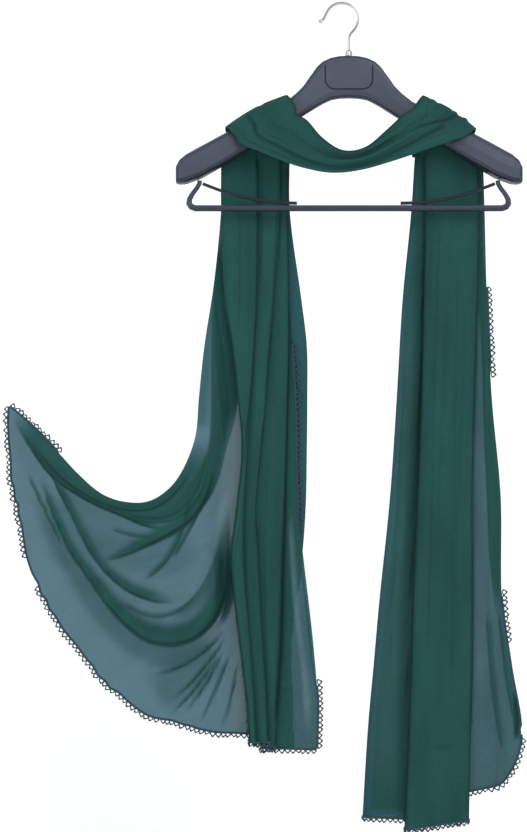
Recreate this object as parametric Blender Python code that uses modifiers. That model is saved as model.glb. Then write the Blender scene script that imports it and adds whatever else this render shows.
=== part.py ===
import math
from bisect import bisect_right

import bmesh
import bpy
from mathutils import Vector

# A stole draped over a plastic hanger. Metres, +Z up, +X to the right of someone facing the front.
# The origin is the top of the rail that the hook hangs on. Tables are in millimetres.
MM = 0.001

# Hanger
CENTRE_X = 9.1 * MM
ARM_SIDES = 16
ARM_SQUARENESS = 0.45
WIRE = 3.8 * MM
HOOK_RADIUS = 20.9 * MM
HOOK_CENTRE_Z = -19.0 * MM
HOOK_STEPS = 16
HOOK_START = 160.0
HOOK_END = -45.0
HOOK_TIP = [(-24.3, -20.2), (-22.3, -17.4)]
HOOK_NECK = [(11.6, -37.3), (9.8, -41.0), (9.1, -45.0)]
TIP_BALL = (-27.0, -21.5)
TIP_BALL_RADIUS = 2.6 * MM
COLLAR_RADIUS = 4.6 * MM
COLLAR_TOP_Z = -58.6 * MM
YOKE_TOP_Z = -65.2 * MM
BAR_RADIUS = 4.1 * MM
STRIP_RADIUS = 2.1 * MM
GROOVE_DEPTH = 0.9 * MM
GROOVE_RADIUS = 1.2 * MM
GROOVE_Y = 7.0 * MM
TOUCH_GAP = 0.3 * MM

# Cloth
WALL = 1.0 * MM
LACE_WALL = 1.0 * MM
LACE_DEPTH = 9.5 * MM
LACE_VALLEY = 5.5 * MM
LACE_PITCH = 8.4 * MM
LACE_PLAIN_STEP = 12.0 * MM
LACE_RIGHT_TOP = -356.0 * MM
LACE_LEFT_TOP = -430.0 * MM
LACE_CORNER_ROWS = 5
LACE_NEAREST = 1.2 * MM
FLARE_HEM_START = 3
LAYER_TOP = 2.6 * MM
LAYER_HEM = 4.8 * MM
TAIL_FRONT_Y = 21.0 * MM
SEAM_Z = -205.6 * MM
HEM_Z = -1055.5 * MM
FOLD_RUN = 4.0 * MM

# The bar's end loop and the hold-down strip: reach from the centre and height; size is the
# rod's thickness there as a share of the bar's.
BAR_END = [
    {"reach": 190.0, "z": -224.6, "size": 0.72},
    {"reach": 190.4, "z": -228.5, "size": 0.72},
    {"reach": 193.5, "z": -234.0, "size": 0.72},
    {"reach": 199.0, "z": -241.0, "size": 0.75},
    {"reach": 203.0, "z": -248.0, "size": 0.85},
    {"reach": 203.6, "z": -253.6, "size": 0.95},
    {"reach": 200.8, "z": -257.8, "size": 1.0},
    {"reach": 195.5, "z": -259.8, "size": 1.0},
]
STRIP_LINE = [
    {"reach": 186.2, "z": -228.6},
    {"reach": 166.0, "z": -236.4},
    {"reach": 140.0, "z": -244.2},
    {"reach": 118.0, "z": -249.0},
    {"reach": 98.0, "z": -251.8},
    {"reach": 80.0, "z": -253.0},
    {"reach": 66.0, "z": -253.3},
]

# Half of the hanger body: reach from the centre, top and bottom of the arm, half its depth.
ARM_SECTIONS = [
    {"reach": 0.0, "top": -65.2, "bottom": -119.9, "half_depth": 7.0},
    {"reach": 12.0, "top": -65.8, "bottom": -120.4, "half_depth": 7.0},
    {"reach": 23.0, "top": -68.1, "bottom": -122.4, "half_depth": 7.0},
    {"reach": 33.0, "top": -72.6, "bottom": -127.2, "half_depth": 7.2},
    {"reach": 40.0, "top": -78.8, "bottom": -131.2, "half_depth": 7.4},
    {"reach": 49.0, "top": -91.2, "bottom": -136.8, "half_depth": 7.8},
    {"reach": 58.0, "top": -104.2, "bottom": -142.4, "half_depth": 8.4},
    {"reach": 67.0, "top": -113.5, "bottom": -147.8, "half_depth": 9.0},
    {"reach": 80.0, "top": -124.0, "bottom": -155.6, "half_depth": 10.0},
    {"reach": 118.0, "top": -144.2, "bottom": -178.6, "half_depth": 13.0},
    {"reach": 154.0, "top": -162.8, "bottom": -202.0, "half_depth": 15.5},
    {"reach": 187.0, "top": -180.8, "bottom": -221.2, "half_depth": 17.5},
    {"reach": 207.0, "top": -191.9, "bottom": -228.6, "half_depth": 18.0},
    {"reach": 216.0, "top": -199.4, "bottom": -229.2, "half_depth": 16.5},
    {"reach": 220.0, "top": -207.0, "bottom": -228.0, "half_depth": 13.0},
]

# Neck band, a row for each station from behind the left arm to behind the right one.
# outer and inner are the two ends of the section in the front view, turn is the angle over
# the arm (0 behind, 90 on top, 180 in front), base the distance from the arm's middle plane
# or axis to the innermost layer, layer the distance between the folded layers.
NECK_COLUMNS = ("outer_x", "outer_z", "inner_x", "inner_z", "turn", "base", "layer")
NECK_STATIONS = [
    dict(zip(NECK_COLUMNS, (-153.5, -205.0, -66.0, -205.0, 0, 21.0, 5.2))),
    dict(zip(NECK_COLUMNS, (-151.0, -191.0, -66.0, -168.0, 0, 19.6, 3.8))),
    dict(zip(NECK_COLUMNS, (-141.0, -176.6, -60.0, -137.6, 15, 18.6, 2.4))),
    dict(zip(NECK_COLUMNS, (-140.0, -175.6, -61.0, -135.1, 45, 18.3, 1.6))),
    dict(zip(NECK_COLUMNS, (-139.0, -174.8, -62.0, -134.3, 90, 14.4, 1.3))),
    dict(zip(NECK_COLUMNS, (-138.0, -175.1, -60.0, -134.6, 135, 18.3, 1.6))),
    dict(zip(NECK_COLUMNS, (-131.5, -178.1, -55.5, -140.1, 165, 18.4, 2.4))),
    dict(zip(NECK_COLUMNS, (-126.5, -183.0, -56.5, -146.0, 178, 17.4, 3.4))),
    dict(zip(NECK_COLUMNS, (-103.0, -193.0, -44.5, -152.5, 180, 16.4, 4.5))),
    dict(zip(NECK_COLUMNS, (-56.5, -211.0, -25.0, -174.5, 180, 14.0, 5.2))),
    dict(zip(NECK_COLUMNS, (-14.0, -218.5, 0.5, -190.0, 180, 12.5, 5.8))),
    dict(zip(NECK_COLUMNS, (30.5, -213.5, 28.5, -186.0, 180, 12.5, 5.8))),
    dict(zip(NECK_COLUMNS, (78.0, -199.5, 55.0, -164.5, 180, 14.0, 5.2))),
    dict(zip(NECK_COLUMNS, (115.5, -186.0, 76.0, -145.0, 180, 16.4, 4.5))),
    dict(zip(NECK_COLUMNS, (143.0, -177.0, 88.5, -138.0, 178, 17.4, 3.4))),
    dict(zip(NECK_COLUMNS, (150.0, -178.1, 87.5, -138.1, 165, 18.4, 2.4))),
    dict(zip(NECK_COLUMNS, (159.0, -176.6, 92.0, -134.1, 135, 18.3, 1.6))),
    dict(zip(NECK_COLUMNS, (161.0, -176.8, 91.0, -134.1, 90, 14.4, 1.3))),
    dict(zip(NECK_COLUMNS, (163.0, -177.1, 89.5, -135.6, 45, 18.3, 1.6))),
    dict(zip(NECK_COLUMNS, (166.0, -177.6, 88.0, -138.6, 15, 18.6, 2.4))),
    dict(zip(NECK_COLUMNS, (176.0, -191.0, 91.5, -168.0, 0, 19.6, 3.8))),
    dict(zip(NECK_COLUMNS, (179.5, -205.0, 92.5, -205.0, 0, 21.0, 5.2))),
]
# Where the neck's cloth turns: across is 0 at the outer or lower side and 1 at the inner or
# upper one. layer is the layer that reaches this turn, counted outwards from the hanger.
NECK_TURNS = [
    {"across": 0.90, "layer": 0},
    {"across": 0.06, "layer": 0},
    {"across": 0.94, "layer": 1},
    {"across": 0.14, "layer": 2},
    {"across": 1.00, "layer": 3},
    {"across": 0.00, "layer": 4},
]
NECK_ROWS = 32
NECK_BOW = 0.10

# Right tail: left fold, front pleat, right pleat and laced edge at each height.
RIGHT_FOLDS = [
    {"z": -181.0, "left": 96.0, "pleat": 107.0, "right": 175.0, "edge": 183.0},
    {"z": -262.0, "left": 91.0, "pleat": 108.0, "right": 178.5, "edge": 185.5},
    {"z": -375.0, "left": 80.0, "pleat": 106.5, "right": 176.0, "edge": 188.5},
    {"z": -502.5, "left": 72.5, "pleat": 103.5, "right": 172.5, "edge": 195.0},
    {"z": -629.5, "left": 64.0, "pleat": 98.5, "right": 169.5, "edge": 206.5},
    {"z": -762.5, "left": 50.5, "pleat": 92.5, "right": 170.5, "edge": 208.0},
    {"z": -847.0, "left": 43.0, "pleat": 90.0, "right": 170.0, "edge": 219.0},
    {"z": -931.0, "left": 35.5, "pleat": 87.0, "right": 167.5, "edge": 232.5},
    {"z": -1056.0, "left": 28.0, "pleat": 82.0, "right": 165.0, "edge": 229.0},
]
# Each turn of its cloth lies between two of those folds; hem is how low the cloth ends there.
RIGHT_TURNS = [
    {"from": "edge", "to": "edge", "share": 0.0, "layer": 2, "hem": -933.0},
    {"from": "right", "to": "edge", "share": 0.55, "layer": 2, "hem": -1001.0},
    {"from": "pleat", "to": "right", "share": 0.10, "layer": 2, "hem": -1023.5},
    {"from": "right", "to": "right", "share": 0.0, "layer": 1, "hem": -1043.5},
    {"from": "pleat", "to": "pleat", "share": 0.0, "layer": 0, "hem": -1056.0},
    {"from": "pleat", "to": "right", "share": 0.88, "layer": 3, "hem": -1048.5},
    {"from": "left", "to": "left", "share": 0.0, "layer": 4, "hem": -1043.5},
    {"from": "pleat", "to": "right", "share": 0.80, "layer": 5, "hem": -1027.5},
    {"from": "left", "to": "right", "share": 0.08, "layer": 6, "hem": -1029.5},
    {"from": "pleat", "to": "right", "share": 0.96, "layer": 7, "hem": -1025.5},
]
RIGHT_ROWS = 13

# Left column: its left fold, three visible pleats, right fold and laced inner edge.
LEFT_COLUMNS = ("z", "left", "first", "second", "third", "right", "edge")
LEFT_FOLDS = [
    dict(zip(LEFT_COLUMNS, (-181.0, -154.5, -108.0, -77.5, -69.0, -65.5, -74.5))),
    dict(zip(LEFT_COLUMNS, (-262.0, -154.5, -106.5, -78.0, -67.5, -65.0, -72.5))),
    dict(zip(LEFT_COLUMNS, (-375.0, -149.5, -107.0, -86.0, -66.5, -50.0, -66.5))),
    dict(zip(LEFT_COLUMNS, (-435.5, -140.5, -111.0, -91.5, -66.0, -43.0, -63.0))),
    dict(zip(LEFT_COLUMNS, (-502.5, -132.5, -115.5, -95.5, -68.0, -42.5, -59.0))),
    dict(zip(LEFT_COLUMNS, (-568.5, -127.5, -119.5, -102.5, -69.0, -43.0, -58.0))),
    dict(zip(LEFT_COLUMNS, (-644.0, -134.5, -123.5, -108.5, -71.5, -44.5, -55.0))),
    dict(zip(LEFT_COLUMNS, (-710.5, -141.5, -124.5, -105.5, -74.5, -49.5, -47.5))),
    dict(zip(LEFT_COLUMNS, (-814.5, -131.5, -116.0, -100.0, -76.5, -63.5, -35.5))),
    dict(zip(LEFT_COLUMNS, (-892.5, -122.5, -110.0, -95.0, -80.5, -62.5, -29.5))),
    dict(zip(LEFT_COLUMNS, (-952.5, -118.5, -107.0, -93.0, -84.0, -60.0, -30.5))),
]
LEFT_TURNS = [
    {"from": "edge", "to": "edge", "share": 0.0, "layer": 6, "hem": -957.5},
    {"from": "left", "to": "third", "share": 0.42, "layer": 6, "hem": -955.5},
    {"from": "third", "to": "third", "share": 0.0, "layer": 5, "hem": -952.5},
    {"from": "left", "to": "third", "share": 0.26, "layer": 4, "hem": -946.0},
    {"from": "second", "to": "second", "share": 0.0, "layer": 3, "hem": -945.0},
    {"from": "left", "to": "second", "share": 0.20, "layer": 2, "hem": -944.0},
    {"from": "first", "to": "first", "share": 0.0, "layer": 1, "hem": -944.0},
    {"from": "left", "to": "left", "share": 0.0, "layer": 0, "hem": -943.0},
    {"from": "left", "to": "right", "share": 0.80, "layer": 7, "hem": -952.5},
]
LEFT_ROWS = 19

# Flare: its outer edge from the arm down to the held-out corner, and the hem from the column
# round to that corner, as seen from the front.
FLARE_EDGE = [
    {"x": -154.0, "z": -205.6},
    {"x": -155.0, "z": -262.0},
    {"x": -164.0, "z": -352.5},
    {"x": -176.5, "z": -435.5},
    {"x": -183.5, "z": -502.5},
    {"x": -187.5, "z": -548.5},
    {"x": -200.5, "z": -587.0},
    {"x": -220.0, "z": -616.5},
    {"x": -248.0, "z": -634.5},
    {"x": -280.5, "z": -634.5},
    {"x": -309.0, "z": -623.5},
    {"x": -339.5, "z": -597.0},
    {"x": -363.0, "z": -571.5},
    {"x": -396.5, "z": -537.0},
    {"x": -426.0, "z": -513.0},
]
FLARE_HEM = [
    {"x": -65.5, "z": -954.5},
    {"x": -100.0, "z": -944.0},
    {"x": -132.5, "z": -939.0},
    {"x": -172.0, "z": -936.0},
    {"x": -219.0, "z": -920.0},
    {"x": -252.5, "z": -912.5},
    {"x": -281.5, "z": -889.5},
    {"x": -311.0, "z": -862.0},
    {"x": -348.5, "z": -812.0},
    {"x": -371.0, "z": -782.0},
    {"x": -387.5, "z": -754.5},
    {"x": -408.5, "z": -692.5},
    {"x": -419.5, "z": -634.5},
    {"x": -428.0, "z": -581.0},
    {"x": -429.5, "z": -538.0},
    {"x": -428.0, "z": -515.0},
]
FLARE_COLUMNS = 20
FLARE_ROWS = LEFT_ROWS
FLARE_OPENS = 0.55
FLARE_BILLOW = 10.0 * MM
FOLD_CLEARANCE = 12.0 * MM
CORNER_Y = 26.0 * MM
# Hanging folds of the flare: each runs from the corner to the column, raised by its height.
FLARE_FOLDS = [
    {
        "name": "rolled top band", "half_width": 14.0, "height": -12.0,
        "x": [-422.0, -397.5, -355.0, -303.0, -258.5, -220.0, -178.0, -161.0, -158.0, -151.0],
        "z": [-519.0, -538.0, -595.0, -638.5, -649.0, -644.0, -619.5, -568.5, -499.5, -378.0],
    },
    {
        "name": "long swag", "half_width": 15.0, "height": -14.0,
        "x": [-408.5, -383.0, -361.0, -328.5, -292.0, -252.5, -220.0, -192.5, -174.0, -161.0, -153.0],
        "z": [-545.5, -617.5, -671.0, -724.0, -769.5, -808.0, -814.5, -807.0, -785.0, -753.5, -718.0],
    },
    {
        "name": "short swag", "half_width": 12.0, "height": -10.0,
        "x": [-376.0, -337.5, -307.0, -277.5, -237.0, -194.5, -173.0],
        "z": [-589.0, -667.0, -709.5, -744.0, -758.5, -749.5, -702.5],
    },
    {
        "name": "lower fan", "half_width": 11.0, "height": 6.0,
        "x": [-242.0, -212.5, -177.0, -161.0],
        "z": [-856.0, -850.0, -830.5, -810.0],
    },
    {
        "name": "hem fan", "half_width": 10.0, "height": 6.0,
        "x": [-206.5, -184.5, -169.0, -159.0],
        "z": [-905.5, -887.5, -840.5, -804.0],
    },
]


def clear_scene():
    for item in list(bpy.data.objects):
        bpy.data.objects.remove(item)


def make_material(name, colour, roughness, metallic=0.0):
    material = bpy.data.materials.new(name)
    material.use_nodes = True
    shader = material.node_tree.nodes["Principled BSDF"]
    shader.inputs["Base Color"].default_value = (*colour, 1.0)
    shader.inputs["Roughness"].default_value = roughness
    shader.inputs["Metallic"].default_value = metallic
    material.diffuse_color = (*colour, 1.0)
    return material


def curve_value(keys, values, at):
    """A smooth curve through a table's values, flat past its ends."""
    at = min(max(at, keys[0]), keys[-1])
    last = len(keys) - 1
    i = min(max(bisect_right(keys, at) - 1, 0), last - 1)

    def slope(j):
        before, after = max(j - 1, 0), min(j + 1, last)
        return (values[after] - values[before]) / (keys[after] - keys[before])

    span = keys[i + 1] - keys[i]
    f = (at - keys[i]) / span
    rise = values[i] * (2 * f ** 3 - 3 * f ** 2 + 1) + values[i + 1] * (3 * f ** 2 - 2 * f ** 3)
    lean = slope(i) * (f ** 3 - 2 * f ** 2 + f) + slope(i + 1) * (f ** 3 - f ** 2)
    return rise + lean * span


def table_value(table, key, column, at):
    """One column of a table, read at any value of its key column."""
    rows = sorted(table, key=lambda row: row[key])
    return curve_value([row[key] for row in rows], [row[column] for row in rows], at)


def along_points(points, share):
    """The point at a share of the length of a line of points."""
    lengths = [0.0]
    for before, after in zip(points, points[1:]):
        lengths.append(lengths[-1] + (after - before).length)
    at = share * lengths[-1]
    return Vector([curve_value(lengths, [point[axis] for point in points], at) for axis in range(3)])


def smooth_line(points):
    """Rounds the corners of a line of points and keeps its ends."""
    rounded = [points[0]]
    for before, point, after in zip(points, points[1:], points[2:]):
        rounded.append((before + point * 4 + after) / 6)
    rounded.append(points[-1])
    return rounded


def fold_points(turns, run, middle=()):
    """Lays cloth through its turns: the points of each panel, rounded at its ends, as a place
    and the layer it lies in."""
    points = []
    for number, (start, end) in enumerate(zip(turns, turns[1:])):
        panel = end["place"] - start["place"]
        ease = min(run / max(panel.length, run), 1 / 3)
        shares = [0.0, ease, *middle, 1 - ease]
        last = number == len(turns) - 2
        if last or turns[number + 2]["layer"] != end["layer"]:
            shares.append(1.0)
        for share in shares:
            points.append((start["place"] + panel * share, end["layer"]))
    return points


def grid_object(name, rows, wall, material):
    """A sheet through rows of points, given its wall."""
    columns = len(rows[0])
    mesh = bpy.data.meshes.new(name)
    sheet = bmesh.new()
    bmesh.ops.create_grid(sheet, x_segments=columns - 1, y_segments=len(rows) - 1, size=1.0)
    sheet.verts.ensure_lookup_table()
    for number, vert in enumerate(sheet.verts):
        vert.co = rows[number // columns][number % columns]
    sheet.to_mesh(mesh)
    sheet.free()
    mesh.shade_smooth()
    item = bpy.data.objects.new(name, mesh)
    solidify = item.modifiers.new("Wall", "SOLIDIFY")
    solidify.thickness = wall
    solidify.offset = 0.0
    finish_object(item, material)
    return item


def finish_object(item, material):
    item.data.materials.clear()
    item.data.materials.append(material)
    if item.name not in parts.objects:
        parts.objects.link(item)


def wire_object(name, points, radius, material, sides=2):
    """A round wire or rod through points, with closed ends."""
    curve = bpy.data.curves.new(name, "CURVE")
    curve.dimensions = "3D"
    curve.bevel_depth = radius
    curve.bevel_resolution = sides
    curve.use_fill_caps = True
    spline = curve.splines.new("POLY")
    spline.points.add(len(points) - 1)
    for target, point in zip(spline.points, points):
        target.co = (*point, 1.0)
    spline.use_smooth = True
    item = bpy.data.objects.new(name, curve)
    finish_object(item, material)
    return item


def arm_section(row, side):
    """A rounded section of the arm, as a ring of points round the X axis."""
    middle = (row["top"] + row["bottom"]) / 2 * MM
    half_height = (row["top"] - row["bottom"]) / 2 * MM
    ring = []
    for step in range(ARM_SIDES):
        angle = 2 * math.pi * step / ARM_SIDES
        across, up = math.cos(angle), math.sin(angle)
        y = math.copysign(abs(across) ** ARM_SQUARENESS, across) * row["half_depth"] * MM
        z = math.copysign(abs(up) ** ARM_SQUARENESS, up) * half_height
        ring.append(Vector((CENTRE_X + side * row["reach"] * MM, y, middle + z)))
    return ring


def build_hanger_body(material):
    """The moulded yoke and arms: a loft through rings, closed at the arm tips."""
    rings = [arm_section(row, -1) for row in reversed(ARM_SECTIONS)]
    rings += [arm_section(row, 1) for row in ARM_SECTIONS[1:]]
    mesh = bpy.data.meshes.new("hanger_body")
    body = bmesh.new()
    loops = [[body.verts.new(point) for point in ring] for ring in rings]
    for before, after in zip(loops, loops[1:]):
        for i in range(ARM_SIDES):
            j = (i + 1) % ARM_SIDES
            body.faces.new((before[i], before[j], after[j], after[i]))
    body.faces.new(loops[0])
    body.faces.new(loops[-1])
    bmesh.ops.recalc_face_normals(body, faces=body.faces)
    body.to_mesh(mesh)
    body.free()
    mesh.shade_smooth()
    mesh.set_sharp_from_angle(angle=math.radians(50))
    item = bpy.data.objects.new("hanger_body", mesh)
    finish_object(item, material)
    for side in (-1, 1):
        groove = item.modifiers.new("Yoke groove", "BOOLEAN")
        groove.operation = "DIFFERENCE"
        groove.object = groove_cutter(side)
    return item


def groove_cutter(side):
    """A wire that runs down one side of the yoke's panel, round its foot and up again."""
    half, foot, corner = 30.0 * MM, -109.0 * MM, 12.0 * MM
    y = side * (GROOVE_Y + GROOVE_RADIUS - GROOVE_DEPTH)
    points = [Vector((CENTRE_X - half, y, YOKE_TOP_Z + 4 * MM))]
    for turn, centre_x in ((180, CENTRE_X - half + corner), (270, CENTRE_X + half - corner)):
        for step in range(5):
            angle = math.radians(turn + step * 22.5)
            x = centre_x + corner * math.cos(angle)
            points.append(Vector((x, y, foot + corner + corner * math.sin(angle))))
    points.append(Vector((CENTRE_X + half, y, YOKE_TOP_Z + 4 * MM)))
    name = "groove_cutter_front" if side < 0 else "groove_cutter_back"
    curve = wire_object(name, points, GROOVE_RADIUS, None, sides=1)
    return mesh_cutter(curve, name)


def mesh_cutter(curve, name):
    """Makes a curve a closed mesh that a Boolean can use."""
    bpy.context.view_layer.update()
    graph = bpy.context.evaluated_depsgraph_get()
    mesh = bpy.data.meshes.new_from_object(curve.evaluated_get(graph))
    welded = bmesh.new()
    welded.from_mesh(mesh)
    bmesh.ops.remove_doubles(welded, verts=welded.verts, dist=0.00001)
    welded.to_mesh(mesh)
    welded.free()
    bpy.data.objects.remove(curve)
    cutter = bpy.data.objects.new(name, mesh)
    cutter.hide_render = True
    cutter.display_type = "WIRE"
    cutters.objects.link(cutter)
    return cutter


def build_hook(material):
    """The wire hook: a ball tip, the round over the rail, and a bend back to the shank."""
    points = []
    for x, z in HOOK_TIP:
        points.append(Vector((x * MM, 0.0, z * MM)))
    for step in range(HOOK_STEPS + 1):
        angle = math.radians(HOOK_START + (HOOK_END - HOOK_START) * step / HOOK_STEPS)
        x = HOOK_RADIUS * math.cos(angle)
        points.append(Vector((x, 0.0, HOOK_CENTRE_Z + HOOK_RADIUS * math.sin(angle))))
    for x, z in HOOK_NECK:
        points.append(Vector((x * MM, 0.0, z * MM)))
    points.append(Vector((CENTRE_X, 0.0, COLLAR_TOP_Z + TOUCH_GAP)))
    return wire_object("hook", points, WIRE / 2, material)


def build_collar(material):
    """The turned collar where the hook enters the yoke."""
    height = COLLAR_TOP_Z - YOKE_TOP_Z - TOUCH_GAP
    profile = bpy.data.meshes.new("hook_collar")
    shape = bmesh.new()
    top, bottom = COLLAR_TOP_Z, COLLAR_TOP_Z - height
    line = [(0.0, top), (COLLAR_RADIUS * 0.7, top), (COLLAR_RADIUS, top - height * 0.3),
            (COLLAR_RADIUS, bottom), (0.0, bottom)]
    verts = [shape.verts.new((x, 0.0, z)) for x, z in line]
    for before, after in zip(verts, verts[1:]):
        shape.edges.new((before, after))
    shape.to_mesh(profile)
    shape.free()
    item = bpy.data.objects.new("hook_collar", profile)
    item.location.x = CENTRE_X
    screw = item.modifiers.new("Turned", "SCREW")
    screw.steps = screw.render_steps = 20
    screw.use_merge_vertices = True
    screw.merge_threshold = 0.00001
    finish_object(item, material)
    return item


def build_tip_ball(material):
    bpy.ops.mesh.primitive_uv_sphere_add(segments=12, ring_count=8, radius=TIP_BALL_RADIUS)
    item = bpy.context.object
    item.name = item.data.name = "hook_tip_ball"
    item.location = (TIP_BALL[0] * MM, 0.0, TIP_BALL[1] * MM)
    item.data.shade_smooth()
    bpy.context.collection.objects.unlink(item)
    finish_object(item, material)


def build_trouser_bar(material):
    """The bar and its two end loops, one moulded rod."""
    line = [(-row["reach"], row["z"], row["size"]) for row in BAR_END]
    line += [(row["reach"], row["z"], row["size"]) for row in reversed(BAR_END)]
    points = [Vector((CENTRE_X + reach * MM, 0.0, z * MM)) for reach, z, size in line]
    item = wire_object("trouser_bar", points, BAR_RADIUS, material)
    for point, (reach, z, size) in zip(item.data.splines[0].points, line):
        point.radius = size


def build_hold_down_strips(material):
    """The springy strips that bow from the loops down to the bar."""
    for name, side in (("hold_down_strip_left", -1), ("hold_down_strip_right", 1)):
        points = [Vector((CENTRE_X + side * row["reach"] * MM, 0.0, row["z"] * MM)) for row in STRIP_LINE]
        wire_object(name, points, STRIP_RADIUS, material)


def neck_row(station):
    """One section of the neck band, at a place between two of its stations."""
    keys = list(range(len(NECK_STATIONS)))
    now = {}
    for name in NECK_COLUMNS:
        now[name] = curve_value(keys, [row[name] for row in NECK_STATIONS], station)
    outer = Vector((now["outer_x"], 0.0, now["outer_z"])) * MM
    across = Vector((now["inner_x"], 0.0, now["inner_z"])) * MM - outer
    up = Vector((-across.z, 0.0, across.x)).normalized()
    if up.z < 0:
        up = -up
    turn = math.radians(min(max(now["turn"], 0.0), 180.0))
    away = Vector((0.0, math.cos(turn), 0.0)) + up * math.sin(turn)
    turns = []
    for row in NECK_TURNS:
        place = Vector((row["across"] * across.length, 0.0))
        turns.append({"place": place, "layer": row["layer"]})
    points = []
    for place, layer in fold_points(turns, FOLD_RUN, middle=(0.5,)):
        share = place.x / across.length
        bow = NECK_BOW * across.length * math.sin(math.pi * share) * max(0.0, -math.cos(turn))
        points.append(outer + across * share + away * ((now["base"] + layer * now["layer"]) * MM + bow))
    return smooth_line(points)


def layer_y(layer, z):
    """How far back a layer of a tail lies at a height."""
    share = (SEAM_Z - z) / (SEAM_Z - HEM_Z)
    return TAIL_FRONT_Y + layer * (LAYER_TOP + (LAYER_HEM - LAYER_TOP) * share)


def tail_row(turns, folds, share):
    """One section of a tail, at a share of the way from the seam to the hem."""
    placed = []
    for turn in turns:
        z = SEAM_Z + share * (turn["hem"] * MM - SEAM_Z)
        start = table_value(folds, "z", turn["from"], z / MM)
        end = table_value(folds, "z", turn["to"], z / MM)
        x = (start + (end - start) * turn["share"]) * MM
        placed.append({"place": Vector((x, z)), "layer": turn["layer"]})
    points = []
    for place, layer in fold_points(placed, FOLD_RUN):
        points.append(Vector((place.x, layer_y(layer, place.y), place.y)))
    return smooth_line(points)


def tail_rows(turns, folds, count):
    return [tail_row(turns, folds, number / count) for number in range(count + 1)]


def distance_to_line(point, line):
    """The distance from a point of the front view to a line of points."""
    nearest = 1.0
    for before, after in zip(line, line[1:]):
        way = after - before
        share = min(max((point - before).dot(way) / way.length_squared, 0.0), 1.0)
        nearest = min(nearest, (point - before - way * share).length)
    return nearest


def flare_row(share):
    """One line of the flare, from the right fold behind the column to the outer edge."""
    hem = LEFT_TURNS[-1]["hem"] * MM
    z = SEAM_Z + share * (hem - SEAM_Z)
    left = table_value(LEFT_FOLDS, "z", "left", z / MM) * MM
    right = table_value(LEFT_FOLDS, "z", "right", z / MM) * MM
    start_x = left + (right - left) * LEFT_TURNS[-1]["share"] + TOUCH_GAP
    start_layer, back_layer = LEFT_TURNS[-1]["layer"], LEFT_TURNS[-1]["layer"] + 1
    run = FOLD_RUN
    points = [
        Vector((start_x, layer_y(start_layer, z), z)),
        Vector((right - run, layer_y(start_layer, z), z)),
        Vector((right, layer_y(start_layer, z), z)),
        Vector((right, layer_y(back_layer, z), z)),
    ]
    inner = Vector((right - run, 0.0, z))
    edge = [Vector((row["x"], 0.0, row["z"])) * MM for row in FLARE_EDGE]
    hem_line = [Vector((row["x"], 0.0, row["z"])) * MM for row in FLARE_HEM]
    outer = along_points(edge, share)
    reach = outer - inner
    side = Vector((reach.z, 0.0, -reach.x))
    chord = hem_line[-1] - hem_line[0]
    chord_side = Vector((chord.z, 0.0, -chord.x))
    opened = min(max((share - FLARE_OPENS) / (1 - FLARE_OPENS), 0.0), 1.0)
    for number in range(FLARE_COLUMNS + 1):
        way = number / FLARE_COLUMNS
        shape = along_points(hem_line, way) - hem_line[0]
        along = shape.dot(chord) / chord.length_squared
        bulge = shape.dot(chord_side) / chord_side.length_squared
        along = way + (along - way) * opened
        place = inner + reach * along + side * bulge * opened
        points.append(Vector((place.x, flare_y(place), place.z)))
    return smooth_line(points)


def flare_y(place):
    """How far back the flare lies: behind the column, then forward to the held corner, with its
    hanging folds."""
    back = layer_y(LEFT_TURNS[-1]["layer"] + 1, place.z)
    column = table_value(LEFT_FOLDS, "z", "left", place.z / MM) * MM
    corner = FLARE_EDGE[-1]["x"] * MM
    way = min(max((column - place.x) / (column - corner), 0.0), 1.0)
    y = back + (CORNER_Y - back) * way - FLARE_BILLOW * math.sin(math.pi * way)
    free = min(max((column - FOLD_CLEARANCE - place.x) / FOLD_CLEARANCE, 0.0), 1.0)
    front = Vector((place.x, place.z))
    for fold in FLARE_FOLDS:
        line = [Vector((x, z)) * MM for x, z in zip(fold["x"], fold["z"])]
        far = distance_to_line(front, line) / (fold["half_width"] * MM)
        y += fold["height"] * MM * math.exp(-far * far) * free
    return y


def lace_rows(edge, inward, step, scalloped):
    """A strip along an edge of the cloth: its inner and outer lines. inward is the next line of
    the cloth behind the edge. The outer line swings between a scallop's tip and its valley."""
    lengths = [0.0]
    for before, after in zip(edge, edge[1:]):
        lengths.append(lengths[-1] + (after - before).length)
    count = max(2, round(lengths[-1] / step))
    places = list(lengths)
    for number in range(count + 1):
        at = lengths[-1] * number / count
        if min(abs(at - length) for length in lengths) > LACE_NEAREST:
            places.append(at)
    outs = []
    for number, point in enumerate(edge):
        along = (edge[min(number + 1, len(edge) - 1)] - edge[max(number - 1, 0)]).normalized()
        out = point - inward[number]
        outs.append((out - along * out.dot(along)).normalized())
    inner, outer = [], []
    for at in sorted(places):
        i = min(max(bisect_right(lengths, at) - 1, 0), len(edge) - 2)
        share = (at - lengths[i]) / (lengths[i + 1] - lengths[i])
        point = edge[i].lerp(edge[i + 1], share)
        out = outs[i].lerp(outs[i + 1], share).normalized()
        swing = abs(at / lengths[-1] * count % 2 - 1) if scalloped else 0.0
        inner.append(point + out * TOUCH_GAP)
        outer.append(point + out * (LACE_DEPTH + (LACE_VALLEY - LACE_DEPTH) * swing))
    return [inner, outer]


def side_run(rows, column, top):
    """The points of one column of the cloth below a height."""
    return [row[column] for row in rows if row[column].z < top]


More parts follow.
